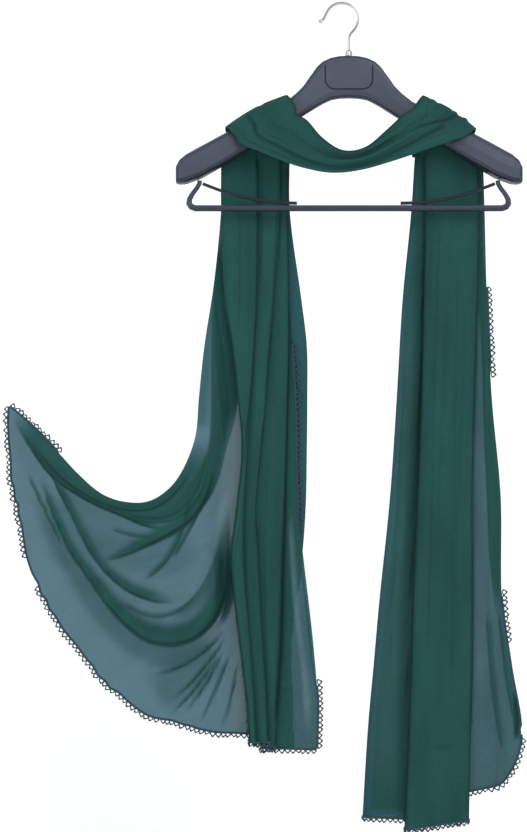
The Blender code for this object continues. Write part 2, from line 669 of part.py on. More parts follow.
def build_cloth(cloth, lace):
    neck_end = len(NECK_STATIONS) - 1
    neck = [neck_row(neck_end * number / NECK_ROWS) for number in range(NECK_ROWS + 1)]
    right = tail_rows(RIGHT_TURNS, RIGHT_FOLDS, RIGHT_ROWS)
    left = tail_rows(LEFT_TURNS, LEFT_FOLDS, LEFT_ROWS)
    flare = [flare_row(number / FLARE_ROWS) for number in range(FLARE_ROWS + 1)]
    grid_object("stole_neck", neck, WALL, cloth)
    grid_object("stole_right_tail", right, WALL, cloth)
    grid_object("stole_left_column", left, WALL, cloth)
    grid_object("stole_left_flare", flare, WALL, cloth)

    half = LACE_PITCH / 2
    right_side = side_run(right, 0, LACE_RIGHT_TOP), side_run(right, 1, LACE_RIGHT_TOP)
    left_side = side_run(left, 0, LACE_LEFT_TOP), side_run(left, 1, LACE_LEFT_TOP)
    corner = [[row[column] for row in flare[-LACE_CORNER_ROWS:]] for column in (-1, -2)]
    runs = [
        ("lace_right_hem", right[-1], right[-2], LACE_PITCH, True),
        ("lace_right_edge", *right_side, LACE_PITCH, True),
        ("lace_left_hem", left[-1], left[-2], LACE_PITCH, True),
        ("lace_left_edge", *left_side, LACE_PLAIN_STEP, False),
        ("lace_flare_hem", flare[-1][FLARE_HEM_START:], flare[-2][FLARE_HEM_START:], half, True),
        ("lace_flare_edge", *corner, half, True),
    ]
    for name, edge, inward, step, scalloped in runs:
        grid_object(name, lace_rows(edge, inward, step, scalloped), LACE_WALL, lace)


clear_scene()
parts = bpy.data.collections.new("dupatta_stole_on_a_hanger")
cutters = bpy.data.collections.new("cutters")
bpy.context.scene.collection.children.link(parts)
bpy.context.scene.collection.children.link(cutters)

plastic = make_material("moulded plastic", (0.035, 0.04, 0.06), 0.45)
chrome = make_material("chromed wire", (0.75, 0.76, 0.78), 0.15, 1.0)
chiffon = make_material("green chiffon", (0.012, 0.075, 0.055), 0.8)
cotton = make_material("black lace", (0.01, 0.016, 0.025), 0.85)

build_hanger_body(plastic)
build_hook(chrome)
build_collar(chrome)
build_tip_ball(chrome)
build_trouser_bar(plastic)
build_hold_down_strips(plastic)
build_cloth(chiffon, cotton)
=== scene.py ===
# A green georgette stole with a black crochet lace edge, draped over a plastic hanger.
# Metres, +Z up, the front faces -Y. The tables and settings below are in millimetres.
import math
from bisect import bisect_right

import bmesh
import bpy
import numpy as np
from mathutils import Matrix, Vector


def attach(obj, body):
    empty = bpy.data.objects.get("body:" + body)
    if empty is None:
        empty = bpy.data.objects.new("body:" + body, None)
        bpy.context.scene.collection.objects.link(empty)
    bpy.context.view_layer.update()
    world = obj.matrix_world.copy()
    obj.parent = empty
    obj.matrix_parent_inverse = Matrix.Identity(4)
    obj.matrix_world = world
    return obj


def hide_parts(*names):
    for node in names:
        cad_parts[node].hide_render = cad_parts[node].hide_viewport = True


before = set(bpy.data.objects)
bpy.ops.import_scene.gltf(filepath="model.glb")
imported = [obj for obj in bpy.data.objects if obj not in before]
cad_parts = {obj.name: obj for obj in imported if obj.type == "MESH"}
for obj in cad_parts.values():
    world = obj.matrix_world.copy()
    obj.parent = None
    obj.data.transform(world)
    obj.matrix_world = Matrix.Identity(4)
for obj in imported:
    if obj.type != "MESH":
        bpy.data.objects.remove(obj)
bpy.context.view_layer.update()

mm = 0.001
scene = bpy.context.scene
scene.view_settings.view_transform = "Standard"  # the photograph's white stays white
scene.cycles.transparent_max_bounces = 40  # the folded tails are up to ten sheer layers deep


# Camera: level with the middle of the photograph and square to the hanger
camera = {"x": -99.6, "z": -524.7, "distance": 2400.0, "tall": 1060.8, "sensor": 36.0}


def makeCamera(settings):
    data = bpy.data.cameras.new("camera")
    data.sensor_width = settings["sensor"]
    data.lens = settings["sensor"] * settings["distance"] / settings["tall"]
    data.dof.use_dof = False
    item = bpy.data.objects.new("camera", data)
    item.location = (settings["x"] * mm, -settings["distance"] * mm, settings["z"] * mm)
    item.rotation_euler = (math.pi / 2, 0.0, 0.0)
    scene.collection.objects.link(item)
    scene.camera = item


makeCamera(camera)
print("stage: camera")


# Colours and shader nodes

def linear(hexColour):
    parts = [int(hexColour[i:i + 2], 16) / 255 for i in (1, 3, 5)]
    return (*[c / 12.92 if c <= 0.04045 else ((c + 0.055) / 1.055) ** 2.4 for c in parts], 1.0)


def addNode(tree, kind, values=None, links=None, **settings):
    node = tree.nodes.new(kind)
    for name, value in settings.items():
        setattr(node, name, value)
    for name, value in (values or {}).items():
        node.inputs[name].default_value = value
    for name, source in (links or {}).items():
        tree.links.new(source, node.inputs[name])
    return node


def startMaterial(name):
    material = bpy.data.materials.new(name)
    material.use_nodes = True
    tree = material.node_tree
    return material, tree, tree.nodes["Principled BSDF"]


def noise(tree, vector, scale, detail=2.0, rough=0.5):
    return addNode(tree, "ShaderNodeTexNoise", {"Scale": scale, "Detail": detail, "Roughness": rough},
                   {"Vector": vector}).outputs["Fac"]


def mapped(tree, value, low, high, toLow=0.0, toHigh=1.0):
    ends = {"From Min": low, "From Max": high, "To Min": toLow, "To Max": toHigh}
    return addNode(tree, "ShaderNodeMapRange", ends, {"Value": value}).outputs["Result"]


def mixed(tree, factor, start, end):
    # start is a colour or another node's output
    node = addNode(tree, "ShaderNodeMix", {"B": linear(end)}, {"Factor": factor}, data_type="RGBA")
    if isinstance(start, str):
        node.inputs["A"].default_value = linear(start)
    else:
        tree.links.new(start, node.inputs["A"])
    return node.outputs["Result"]


def calculated(tree, operation, *values, clamped=False):
    node = addNode(tree, "ShaderNodeMath", operation=operation, use_clamp=clamped)
    for socket, value in zip(node.inputs, values):
        if isinstance(value, float):
            socket.default_value = value
        else:
            tree.links.new(value, socket)
    return node.outputs["Value"]


def setBump(tree, shader, height, strength, depth):
    bump = addNode(tree, "ShaderNodeBump", {"Strength": strength, "Distance": depth * mm}, {"Height": height})
    tree.links.new(bump.outputs["Normal"], shader.inputs["Normal"])


georgette = {
    "single": "#0c6a78", "singleGrey": "#1f6076", "double": "#2b5b63", "folded": "#21544f",
    "creaseAndShade": "#0b2426", "lit": "#5a7f87", "doubleAt": 0.42,
    "singleAlpha": 0.914, "closing": 2.4, "roughness": 0.82,
    "crinkleWide": 1.7, "crinkleLong": 6.0, "cloudWide": 46.0, "bump": 0.16,
}


def makeGeorgette(settings):
    # Crinkled polyester georgette: matt and sheer. One layer over light reads grey-blue, several
    # layers read deep green, and a pressed fold reads nearly black. The nearly black fold colour also
    # carries painted shade: shadows beside folds, shade in troughs and at fold edges. The lit colour,
    # mixed in by lift, is painted light in places.
    material, tree, shader = startMaterial("crinkled polyester georgette")
    layers, creaseAndShade, lift = (addNode(tree, "ShaderNodeAttribute", attribute_name=name).outputs["Fac"]
                            for name in ("layers", "creaseAndShade", "lift"))
    uv = addNode(tree, "ShaderNodeUVMap", uv_map="cloth").outputs["UV"]
    fine, wide = (addNode(tree, "ShaderNodeMapping", {"Scale": scale}, {"Vector": uv}).outputs["Vector"]
                  for scale in ((1000 / settings["crinkleWide"], 1000 / settings["crinkleLong"], 1.0),
                                (1000 / settings["cloudWide"], 300 / settings["cloudWide"], 1.0)))
    crinkle, cloud = noise(tree, fine, 1.0, 2.0, 0.55), noise(tree, wide, 1.0, 3.0)
    single = mixed(tree, mapped(tree, cloud, 0.35, 0.65), settings["single"], settings["singleGrey"])
    double = mixed(tree, mapped(tree, layers, 0.0, settings["doubleAt"]), single, settings["double"])
    folded = mixed(tree, mapped(tree, layers, settings["doubleAt"], 1.0), double, settings["folded"])
    lit = mixed(tree, lift, folded, settings["lit"])
    tone = calculated(tree, "MULTIPLY", mapped(tree, cloud, 0.3, 0.7, 0.84, 1.16),
                      mapped(tree, crinkle, 0.3, 0.7, 0.9, 1.1))
    toned = addNode(tree, "ShaderNodeVectorMath", links={0: lit, "Scale": tone}, operation="SCALE")
    dark = mixed(tree, creaseAndShade, toned.outputs["Vector"], settings["creaseAndShade"])
    tree.links.new(dark, shader.inputs["Base Color"])
    opened = calculated(tree, "SUBTRACT", 1.0, calculated(tree, "MAXIMUM", layers, creaseAndShade), clamped=True)
    sheer = calculated(tree, "POWER", opened, settings["closing"])
    alpha = calculated(tree, "MULTIPLY_ADD", sheer, settings["singleAlpha"] - 1, 1.0)
    tree.links.new(alpha, shader.inputs["Alpha"])
    setBump(tree, shader, crinkle, settings["bump"], 0.3)
    shader.inputs["Roughness"].default_value = settings["roughness"]
    shader.inputs["Specular IOR Level"].default_value = 0.25
    return material


laceThread = {"colour": "#163440", "lit": "#315766", "twist": 1.2, "roughness": 0.7}


def makeLaceCotton(settings):
    # Mercerised crochet cotton: a tight twisted thread, dark with a slight dull shine
    material, tree, shader = startMaterial("mercerised crochet cotton")
    place = addNode(tree, "ShaderNodeTexCoord").outputs["Object"]
    twist = noise(tree, place, 1000 / settings["twist"])
    tree.links.new(mixed(tree, twist, settings["colour"], settings["lit"]), shader.inputs["Base Color"])
    setBump(tree, shader, twist, 0.4, 0.2)
    shader.inputs["Roughness"].default_value = settings["roughness"]
    shader.inputs["Sheen Weight"].default_value = 0.2
    return material


mouldedPlastic = {
    "colour": "#394154", "worn": "#464f63", "shadedColour": "#1a1e29", "shadedWorn": "#262b39",
    "grain": 0.8, "cloud": 60.0, "roughness": 0.42,
}


def makeMouldedPlastic(settings, name, low, high):
    # Injection-moulded polypropylene: slate, satin, with a faint spark-eroded grain. The shaded one is
    # for the thin strips and the panel line, and undersides darken towards it.
    material, tree, shader = startMaterial(name)
    place = addNode(tree, "ShaderNodeTexCoord")
    grain = noise(tree, place.outputs["Object"], 1000 / settings["grain"])
    cloud = noise(tree, place.outputs["Object"], 1000 / settings["cloud"], 3.0)
    colour = mixed(tree, cloud, settings[low], settings[high])
    parts = addNode(tree, "ShaderNodeSeparateXYZ", links={"Vector": place.outputs["Normal"]})
    below = mapped(tree, parts.outputs["Z"], -0.2, -0.6)
    under = mixed(tree, below, colour, settings["shadedColour"])
    tree.links.new(under, shader.inputs["Base Color"])
    rough = mapped(tree, grain, 0.0, 1.0, settings["roughness"] - 0.08, settings["roughness"] + 0.1)
    tree.links.new(rough, shader.inputs["Roughness"])
    setBump(tree, shader, grain, 0.12, 0.1)
    return material


chromedWire = {"colour": "#dcdee1", "roughness": 0.28, "brush": 3.0}


def makeChromedWire(settings):
    # Drawn steel wire, chromium plated: bright, with faint drawing marks
    material, tree, shader = startMaterial("chromed steel wire")
    place = addNode(tree, "ShaderNodeTexCoord").outputs["Object"]
    marks = noise(tree, place, 1000 / settings["brush"], 3.0)
    rough = mapped(tree, marks, 0.0, 1.0, settings["roughness"] - 0.05, settings["roughness"] + 0.12)
    tree.links.new(rough, shader.inputs["Roughness"])
    shader.inputs["Base Color"].default_value = linear(settings["colour"])
    shader.inputs["Metallic"].default_value = 1.0
    return material


stoleCloth = makeGeorgette(georgette)
crochetCotton = makeLaceCotton(laceThread)
hangerPlastic = makeMouldedPlastic(mouldedPlastic, "moulded polypropylene", "colour", "worn")
shadedPlastic = makeMouldedPlastic(mouldedPlastic, "shaded polypropylene", "shadedColour", "shadedWorn")
hookChrome = makeChromedWire(chromedWire)
print("stage: materials")


# Reading the tables

def curveValue(keys, values, at):
    at = min(max(at, keys[0]), keys[-1])
    last = len(keys) - 1
    i = min(max(bisect_right(keys, at) - 1, 0), last - 1)

    def slope(j):
        before, after = max(j - 1, 0), min(j + 1, last)
        return (values[after] - values[before]) / (keys[after] - keys[before])

    span = keys[i + 1] - keys[i]
    f = (at - keys[i]) / span
    rise = values[i] * (2 * f ** 3 - 3 * f ** 2 + 1) + values[i + 1] * (3 * f ** 2 - 2 * f ** 3)
    return rise + (slope(i) * (f ** 3 - 2 * f ** 2 + f) + slope(i + 1) * (f ** 3 - f ** 2)) * span


def foldTable(columns, rows):
    # one smooth curve for each column, read by height
    rows = sorted(rows)
    keys = [row[0] for row in rows]
    return {name: (keys, [row[i] for row in rows]) for i, name in enumerate(columns)}


def foldX(table, name, z):
    keys, values = table[name]
    return curveValue(keys, values, z)


def runLengths(points):
    lengths = [0.0]
    for before, after in zip(points, points[1:]):
        lengths.append(lengths[-1] + (after - before).length)
    return lengths


def alongPoints(points, share):
    lengths = runLengths(points)
    return Vector([curveValue(lengths, [point[axis] for point in points], share * lengths[-1])
                   for axis in range(len(points[0]))])


def clamp(value):
    return min(max(value, 0.0), 1.0)


def ease(value):
    value = clamp(value)
    return value * value * (3 - 2 * value)


def foldPoints(turns, run, middle=()):
    # cloth laid through its turns: places, and the layer each one lies in
    points = []
    for number, (start, end) in enumerate(zip(turns, turns[1:])):
        panel = end[0] - start[0]
        share = min(run / max(panel.length, run), 1 / 3)
        shares = [0.0, share, *middle, 1 - share]
        if number == len(turns) - 2 or turns[number + 2][1] != end[1]:
            shares.append(1.0)
        points += [(start[0] + panel * at, end[1]) for at in shares]
    return points


def softLine(points, steps):
    # a cubic B-spline near the points, from the first one to the last
    held = [points[0] * 2 - points[1], *points, points[-1] * 2 - points[-2]]
    line = []
    for a, b, c, d in zip(held, held[1:], held[2:], held[3:]):
        for step in range(steps):
            f = step / steps
            line.append((a * (1 - f) ** 3 + b * (3 * f ** 3 - 6 * f ** 2 + 4)
                         + c * (-3 * f ** 3 + 3 * f ** 2 + 3 * f + 1) + d * f ** 3) / 6)
    line.append(points[-1].copy())
    return line


# Cloth: tails from behind the arms to their hems
panelMiddles = (0.14, 0.26, 0.38, 0.5, 0.62, 0.74, 0.86)
tails = {
    "front": 21.0, "seam": -205.6, "hem": -1055.5, "layerTop": 2.6, "layerHem": 4.8,
    "tuckedFront": 17.7, "tuckedLayer": 0.75, "run": 4.0, "steps": 4, "rows": 150, "least": 0.42,
    "bulge": 9.0,
}
rightFolds = foldTable(("z", "left", "pleat", "right", "edge"), [
    (-181, 96, 107, 175, 183), (-262, 91, 108, 178.5, 185.5),
    (-375, 80, 106.5, 176, 188.5), (-502.5, 72.5, 103.5, 172.5, 195),
    (-629.5, 64, 98.5, 169.5, 206.5), (-762.5, 50.5, 92.5, 170.5, 208),
    (-847, 43, 90, 170, 219), (-931, 35.5, 87, 167.5, 232.5),
    (-1056, 28, 82, 165, 229),
])
rightTurns = [  # between two folds, share of the way, layer that reaches it, hem height
    ("edge", "edge", 0, 2, -933), ("right", "edge", 0.55, 2, -1001),
    ("pleat", "right", 0.1, 2, -1023.5), ("right", "right", 0, 1, -1043.5),
    ("pleat", "pleat", 0, 0, -1056), ("pleat", "right", 0.88, 3, -1048.5),
    ("left", "left", 0, 4, -1043.5), ("pleat", "right", 0.8, 5, -1027.5),
    ("left", "right", 0.08, 6, -1029.5), ("pleat", "right", 0.96, 7, -1025.5),
]
rightTop = ((91, -150), (183, -196))
leftFolds = foldTable(("z", "left", "first", "second", "third", "right", "edge"), [
    (-181, -154.5, -108, -77.5, -69, -65.5, -74.5),
    (-262, -154.5, -106.5, -78, -67.5, -65, -72.5),
    (-375, -149.5, -107, -86, -66.5, -50, -66.5),
    (-435.5, -140.5, -111, -91.5, -66, -43, -63),
    (-502.5, -132.5, -115.5, -95.5, -68, -42.5, -59),
    (-568.5, -127.5, -119.5, -102.5, -69, -43, -58),
    (-644, -134.5, -123.5, -108.5, -71.5, -44.5, -55),
    (-710.5, -141.5, -124.5, -105.5, -74.5, -49.5, -47.5),
    (-814.5, -131.5, -116, -100, -76.5, -63.5, -35.5),
    (-892.5, -122.5, -110, -95, -80.5, -62.5, -29.5),
    (-952.5, -118.5, -107, -93, -84, -60, -30.5),
])
leftTurns = [
    ("edge", "edge", 0, 6, -957.5), ("left", "third", 0.42, 6, -955.5),
    ("third", "third", 0, 5, -952.5), ("left", "third", 0.26, 4, -946),
    ("second", "second", 0, 3, -945), ("left", "second", 0.2, 2, -944),
    ("first", "first", 0, 1, -944), ("left", "left", 0, 0, -943),
    ("left", "right", 0.8, 7, -952.5),
]
leftTop = ((-66, -148), (-154, -190))


def topHeight(line, x):
    (nearX, nearZ), (farX, farZ) = line
    share = clamp((x - nearX) / (farX - nearX))
    return nearZ + (farZ - nearZ) * share


def tailY(layer, x, z, top):
    # how far back a layer lies: tucked between the arm and the neck band, then opening downwards
    if z <= tails["seam"]:
        share = (tails["seam"] - z) / (tails["seam"] - tails["hem"])
        return tails["front"] + layer * (tails["layerTop"] + (tails["layerHem"] - tails["layerTop"]) * share)
    highest = topHeight(top, x)
    share = clamp((highest - z) / (highest - tails["seam"]))
    front = tails["tuckedFront"] + (tails["front"] - tails["tuckedFront"]) * share
    return front + layer * (tails["tuckedLayer"] + (tails["layerTop"] - tails["tuckedLayer"]) * share)


def turnX(turn, folds, z):
    start, end = foldX(folds, turn[0], z), foldX(folds, turn[1], z)
    return start + (end - start) * turn[2]


def tailRow(turns, folds, top, share):
    placed = []
    for turn in turns:
        highest = topHeight(top, turnX(turn, folds, -181.0))
        z = highest + share * (turn[4] - highest)
        placed.append((Vector((turnX(turn, folds, z), z)), turn[3]))
    line = [Vector((place.x, tailY(layer, place.x, place.y, top), place.y))
            for place, layer in foldPoints(placed, tails["run"], panelMiddles)]
    return softLine(line, tails["steps"])


# Cloth: the neck band, from behind the right arm over the front to behind the left arm
neck = {"rows": 190, "steps": 5, "bow": 0.10, "run": 4.0, "start": 0.4, "end": 20.6,
        "shade": 0.62, "deepest": 2.4, "creaseEnd": 1.5, "creaseStations": (4.0, 10.5, 17.0)}
neckColumns = ("outerX", "outerZ", "innerX", "innerZ", "turn", "base", "layer")
neckStations = [
    (-153.5, -205, -66, -205, 0, 21, 4.5), (-151, -191, -66, -168, 0, 19.6, 3.6),
    (-141, -176.6, -60, -137.6, 15, 18.6, 2.4), (-140, -175.6, -61, -135.1, 45, 18.3, 1.6),
    (-139, -174.8, -62, -134.3, 90, 14.4, 1.3), (-138, -175.1, -60, -134.6, 135, 18.3, 1.6),
    (-131.5, -178.1, -55.5, -140.1, 165, 18.4, 2.4), (-126.5, -183, -56.5, -146, 178, 17.4, 3.4),
    (-103, -193, -44.5, -152.5, 180, 16.4, 4.5), (-56.5, -211, -25, -174.5, 180, 14, 5.2),
    (-14, -218.5, 0.5, -190, 180, 12.5, 5.8), (30.5, -213.5, 28.5, -186, 180, 12.5, 5.8),
    (78, -199.5, 55, -164.5, 180, 14, 5.2), (115.5, -186, 76, -145, 180, 16.4, 4.5),
    (143, -177, 88.5, -138, 178, 17.4, 3.4), (150, -178.1, 87.5, -138.1, 165, 18.4, 2.4),
    (159, -176.6, 92, -134.1, 135, 18.3, 1.6), (161, -176.8, 91, -134.1, 90, 14.4, 1.3),
    (163, -177.1, 89.5, -135.6, 45, 18.3, 1.6), (166, -177.6, 88, -138.6, 15, 18.6, 2.4),
    (176, -191, 91.5, -168, 0, 19.6, 3.6), (179.5, -205, 92.5, -205, 0, 21, 4.5),
]
neckTurns = [(0.9, 0), (0.06, 0), (0.94, 1), (0.14, 2), (1, 3), (0, 4)]
neckCreases = [  # across at the left arm, the middle and the right arm; start, end, width, height
    ((0.62, 0.5, 0.86), 5.2, 16.5, 3.2, 2.2), ((0.36, 0.24, 0.52), 4.6, 15.2, 2.6, -2.4),
    ((0.16, 0.4, 0.7), 6.8, 14, 2.2, 1.6), ((0.8, 0.72, 0.3), 8.6, 17.4, 2.6, -2),
    ((0.88, 0.84, 0.14), 10.4, 17.8, 2, 1.8), ((0.5, 0.6, 0.4), 9, 13.6, 1.8, -1.3),
    ((0.24, 0.3, 0.2), 0.4, 4.8, 3.4, 2), ((0.6, 0.52, 0.64), 0.4, 5.6, 2.8, -1.8),
    ((0.3, 0.3, 0.42), 15.8, 20.6, 3, 2), ((0.7, 0.7, 0.74), 15, 20.6, 2.4, -1.8),
    ((0.1, 0.12, 0.3), 5.6, 12.4, 1.1, -1.1), ((0.28, 0.16, 0.34), 6.4, 14.8, 1, -0.9),
    ((0.46, 0.36, 0.6), 6, 13.8, 1.1, -1.3), ((0.54, 0.66, 0.8), 5.4, 15.6, 1, -1),
    ((0.72, 0.6, 0.46), 8.8, 17.2, 1.1, -1.2), ((0.9, 0.78, 0.22), 11.4, 17.6, 1, -1.1),
    ((0.96, 0.92, 0.62), 10.8, 17, 1, -0.9), ((0.2, 0.5, 0.92), 12, 17.4, 1.1, -1.2),
]


def neckCreaseHeight(share, station, length):
    height = 0.0
    for across, start, end, width, high in neckCreases:
        if start < station < end:
            far = (share - curveValue(neck["creaseStations"], across, station)) * length / width
            ends = min(ease((station - start) / neck["creaseEnd"]), ease((end - station) / neck["creaseEnd"]))
            height += high * math.exp(-far * far) * ends
    return height


def neckRow(station):
    now = {}
    for i, name in enumerate(neckColumns):
        now[name] = curveValue(range(len(neckStations)), [row[i] for row in neckStations], station)
    outer = Vector((now["outerX"], 0.0, now["outerZ"]))
    across = Vector((now["innerX"], 0.0, now["innerZ"])) - outer
    up = Vector((-across.z, 0.0, across.x)).normalized()
    up = -up if up.z < 0 else up
    turn = math.radians(min(max(now["turn"], 0.0), 180.0))
    away = Vector((0.0, math.cos(turn), 0.0)) + up * math.sin(turn)
    turns = [(Vector((place * across.length, 0.0)), layer) for place, layer in neckTurns]
    line = []
    for place, layer in foldPoints(turns, neck["run"], panelMiddles):
        share = place.x / across.length
        bow = neck["bow"] * across.length * math.sin(math.pi * share) * max(0.0, -math.cos(turn))
        line.append(outer + across * share + away * (now["base"] + layer * now["layer"] + bow))
    line, dark = softLine(line, neck["steps"]), []
    for point in line:  # the same creases in every layer, so that no layer meets the next
        share = (point - outer).dot(across) / across.length_squared
        height = neckCreaseHeight(share, station, across.length)
        point += away * height
        dark.append(clamp(-height / neck["deepest"]) * neck["shade"])
    return line, dark


# Soft relief shared by every layer of a tail, so that no layer meets the next
# share of the way from the left fold to the right one at the top and foot; top, foot, width, height
rightRelief = [
    ((0.22, 0.16), -215, -1010, 9, 2.6), ((0.4, 0.33), -190, -760, 6, -2),
    ((0.52, 0.47), -330, -1060, 11, 3.2), ((0.66, 0.61), -190, -640, 5, -1.8),
    ((0.78, 0.72), -420, -1020, 8, -3), ((0.9, 0.84), -200, -880, 5, 2.2), ((1.02, 1.12), -440, -960, 7, -3.4),
    ((1.1, 1.3), -520, -990, 9, 4), ((0.08, 0.05), -500, -1050, 7, -2.4),
]
leftRelief = [
    ((0.12, 0.1), -190, -520, 7, -1.2), ((0.3, 0.24), -200, -820, 6, 1.2), ((0.44, 0.52), -190, -700, 5, -1),
    ((0.62, 0.6), -260, -940, 8, 1.5), ((0.78, 0.74), -200, -560, 4, -0.9), ((0.88, 0.8), -480, -950, 6, -1.3),
    ((0.3, 0.36), -560, -940, 5, -1.1),
]


def reliefY(relief, folds, x, z):
    left, right = foldX(folds, "left", z), foldX(folds, "right", z)
    height = 0.0
    for (atTop, atFoot), top, foot, width, high in relief:
        if foot < z < top:
            way = (top - z) / (top - foot)
            far = (x - (left + (right - left) * (atTop + (atFoot - atTop) * way))) / width
            height -= high * math.exp(-far * far) * ease(way * 5) * ease((1 - way) * 5 + 0.2)
    return height


# Cloth: the flare, drawn out to the left and held by its corner
flare = {
    "opens": 0.55, "columns": 36, "rows": 270, "steps": 5, "billow": 10.0, "cornerY": 26.0,
    "clearance": 12.0, "hemWave": 2.6, "pucker": 0.9, "shade": 0.08, "nearColumn": 0.12, "reach": 40.0,
}
flareEdge = [
    (-153.5, -190), (-154.2, -215), (-155, -262), (-164, -352.5), (-176.5, -435.5), (-183.5, -502.5),
    (-187.5, -548.5), (-200.5, -587), (-220, -616.5), (-248, -634.5), (-280.5, -634.5), (-309, -623.5),
    (-339.5, -597), (-363, -571.5), (-396.5, -537), (-426, -513),
]
flareHem = [
    (-65.5, -954.5), (-100, -944), (-132.5, -939), (-172, -936), (-219, -920), (-252.5, -912.5),
    (-281.5, -889.5), (-311, -862), (-348.5, -812), (-371, -782), (-387.5, -754.5), (-408.5, -692.5),
    (-419.5, -634.5), (-428, -581), (-429.5, -538), (-428, -515),
]
flareSwells = [  # broad relief: half width, height, places
    (16, -7, [(-422, -519), (-397, -538), (-355, -595), (-303, -638), (-258, -649), (-220, -644), (-178, -619),
     (-161, -568), (-158, -499), (-151, -378)]),
    (15, -14, [(-408, -545), (-383, -617), (-361, -671), (-328, -724), (-292, -769), (-252, -808), (-220, -814),
     (-192, -807), (-174, -785), (-161, -753), (-153, -718)]),
    (12, -10, [(-376, -589), (-337, -667), (-307, -709), (-277, -744), (-237, -758), (-194, -749),
     (-173, -702)]),
    (11, 6, [(-242, -856), (-212, -850), (-177, -830), (-161, -810)]),
    (10, 6, [(-206, -905), (-184, -887), (-169, -840), (-159, -804)]),
    (16, 4.5, [(-404, -640), (-380, -700), (-345, -760), (-300, -815), (-255, -850)]),
    (9, -3, [(-330, -640), (-300, -672), (-262, -700), (-225, -712)]),
    (12, 4, [(-240, -700), (-215, -730), (-190, -735), (-170, -690), (-160, -640)]),
]


def flareBack(x, z):
    # behind the column, then forward to the held corner
    back = tailY(leftTurns[-1][3] + 1, x, z, leftTop)
    column = foldX(leftFolds, "left", z)
    way = clamp((column - x) / (column - flareEdge[-1][0]))
    return back + (flare["cornerY"] - back) * way - flare["billow"] * math.sin(math.pi * way)


def flareRow(share):
    highest, hem = topHeight(leftTop, -66.0), leftTurns[-1][4]
    z = highest + share * (hem - highest)
    start, right, run = turnX(leftTurns[-1], leftFolds, z) + 0.3, foldX(leftFolds, "right", z), tails["run"]
    near, back = (tailY(leftTurns[-1][3] + k, right, z, leftTop) for k in (0, 1))
    points = [Vector((start, near, z)), Vector((right - run, near, z)),
              Vector((right, near, z)), Vector((right, back, z))]
    inner = Vector((right - run, z))
    edge = [Vector(place) for place in flareEdge]
    hemLine = [Vector(place) for place in flareHem]
    reach = alongPoints(edge, share) - inner
    chord = hemLine[-1] - hemLine[0]
    opened = clamp((share - flare["opens"]) / (1 - flare["opens"]))
    for number in range(flare["columns"] + 1):
        way = number / flare["columns"]
        shape = alongPoints(hemLine, way) - hemLine[0]
        bulge = shape.dot(Vector((chord.y, -chord.x))) / chord.length_squared
        along = way + (shape.dot(chord) / chord.length_squared - way) * opened
        place = inner + reach * along + Vector((reach.y, -reach.x)) * bulge * opened
        points.append(Vector((place.x, flareBack(place.x, place.y), place.y)))
    return softLine(points, flare["steps"])


def nearColumn(places):
    column = np.array([foldX(leftFolds, "left", z) for z in places[:, 1]])
    return np.clip((column - flare["clearance"] - places[:, 0]) / flare["clearance"], 0, 1)


def swellRelief(places):
    # the swells' height at every place of the front view, an array of x and z
    total = np.zeros(len(places))
    for halfWidth, height, line in flareSwells:
        nearest = np.full(len(places), 1e9)
        for (ax, az), (bx, bz) in zip(line, line[1:]):
            way = np.array((bx - ax, bz - az), float)
            share = np.clip(((places - (ax, az)) @ way) / (way @ way), 0, 1)
            nearest = np.minimum(nearest, np.linalg.norm(places - (ax, az) - share[:, None] * way, axis=1))
        total += height * np.exp(-(nearest / halfWidth) ** 2)
    return total * nearColumn(places)


# How many layers lie over each other, which is what makes the cloth light or deep in colour
coverCache = {}


def coverOf(side, x, z):
    level = round(z / 3) * 3
    if (side, level) not in coverCache:
        turns, folds = (rightTurns, rightFolds) if side == "right" else (leftTurns, leftFolds)
        ends = [turnX(turn, folds, level) for turn in turns if side == "left" or level > turn[4] - 9]
        spans = [(min(a, b) - 0.6, max(a, b) + 0.6) for a, b in zip(ends, ends[1:])]
        if side == "left":
            spans += [(-600.0, foldX(folds, "right", level) + 0.6),
                      (ends[-1] - 0.6, foldX(folds, "right", level) + 0.6)]
        if level > -200:
            spans += [(-600.0, 600.0)] * 3
        coverCache[side, level] = spans
    return sum(low <= x <= high for low, high in coverCache[side, level])


def layerShade(count):
    return clamp((count - 1) / 2.0)


def placeMesh(name, mesh, material):
    mesh.materials.clear()
    mesh.materials.append(material)
    item = bpy.data.objects.new(name, mesh)
    scene.collection.objects.link(item)
    return item


# Making a sheet from rows of points: its UV map is in metres along and across the cloth
def makeSheet(name, rows, shades, creasesAndShade, lifts=None):
    columns = len(rows[0])
    mesh = bpy.data.meshes.new(name)
    sheet = bmesh.new()
    bmesh.ops.create_grid(sheet, x_segments=columns - 1, y_segments=len(rows) - 1, size=1.0)
    layersData, creaseAndShadeData, liftData = (sheet.verts.layers.float.new(kind) for kind in ("layers", "creaseAndShade", "lift"))
    uvData = sheet.loops.layers.uv.new("cloth")
    sheet.verts.ensure_lookup_table()
    acrossCloth = max((runLengths(row) for row in rows), key=lambda lengths: lengths[-1])
    alongCloth = runLengths([row[columns // 2] for row in rows])
    for number, vert in enumerate(sheet.verts):
        i, j = divmod(number, columns)
        vert.co = rows[i][j] * mm
        vert[layersData] = shades[i][j]
        vert[creaseAndShadeData] = creasesAndShade[i][j]
        vert[liftData] = lifts[i][j] if lifts is not None else 0.0
    for face in sheet.faces:
        for loop in face.loops:
            i, j = divmod(loop.vert.index, columns)
            loop[uvData].uv = (acrossCloth[j] * mm, alongCloth[i] * mm)
    sheet.to_mesh(mesh)
    sheet.free()
    mesh.shade_smooth()
    item = placeMesh(name, mesh, stoleCloth)
    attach(item, "root")
    return item


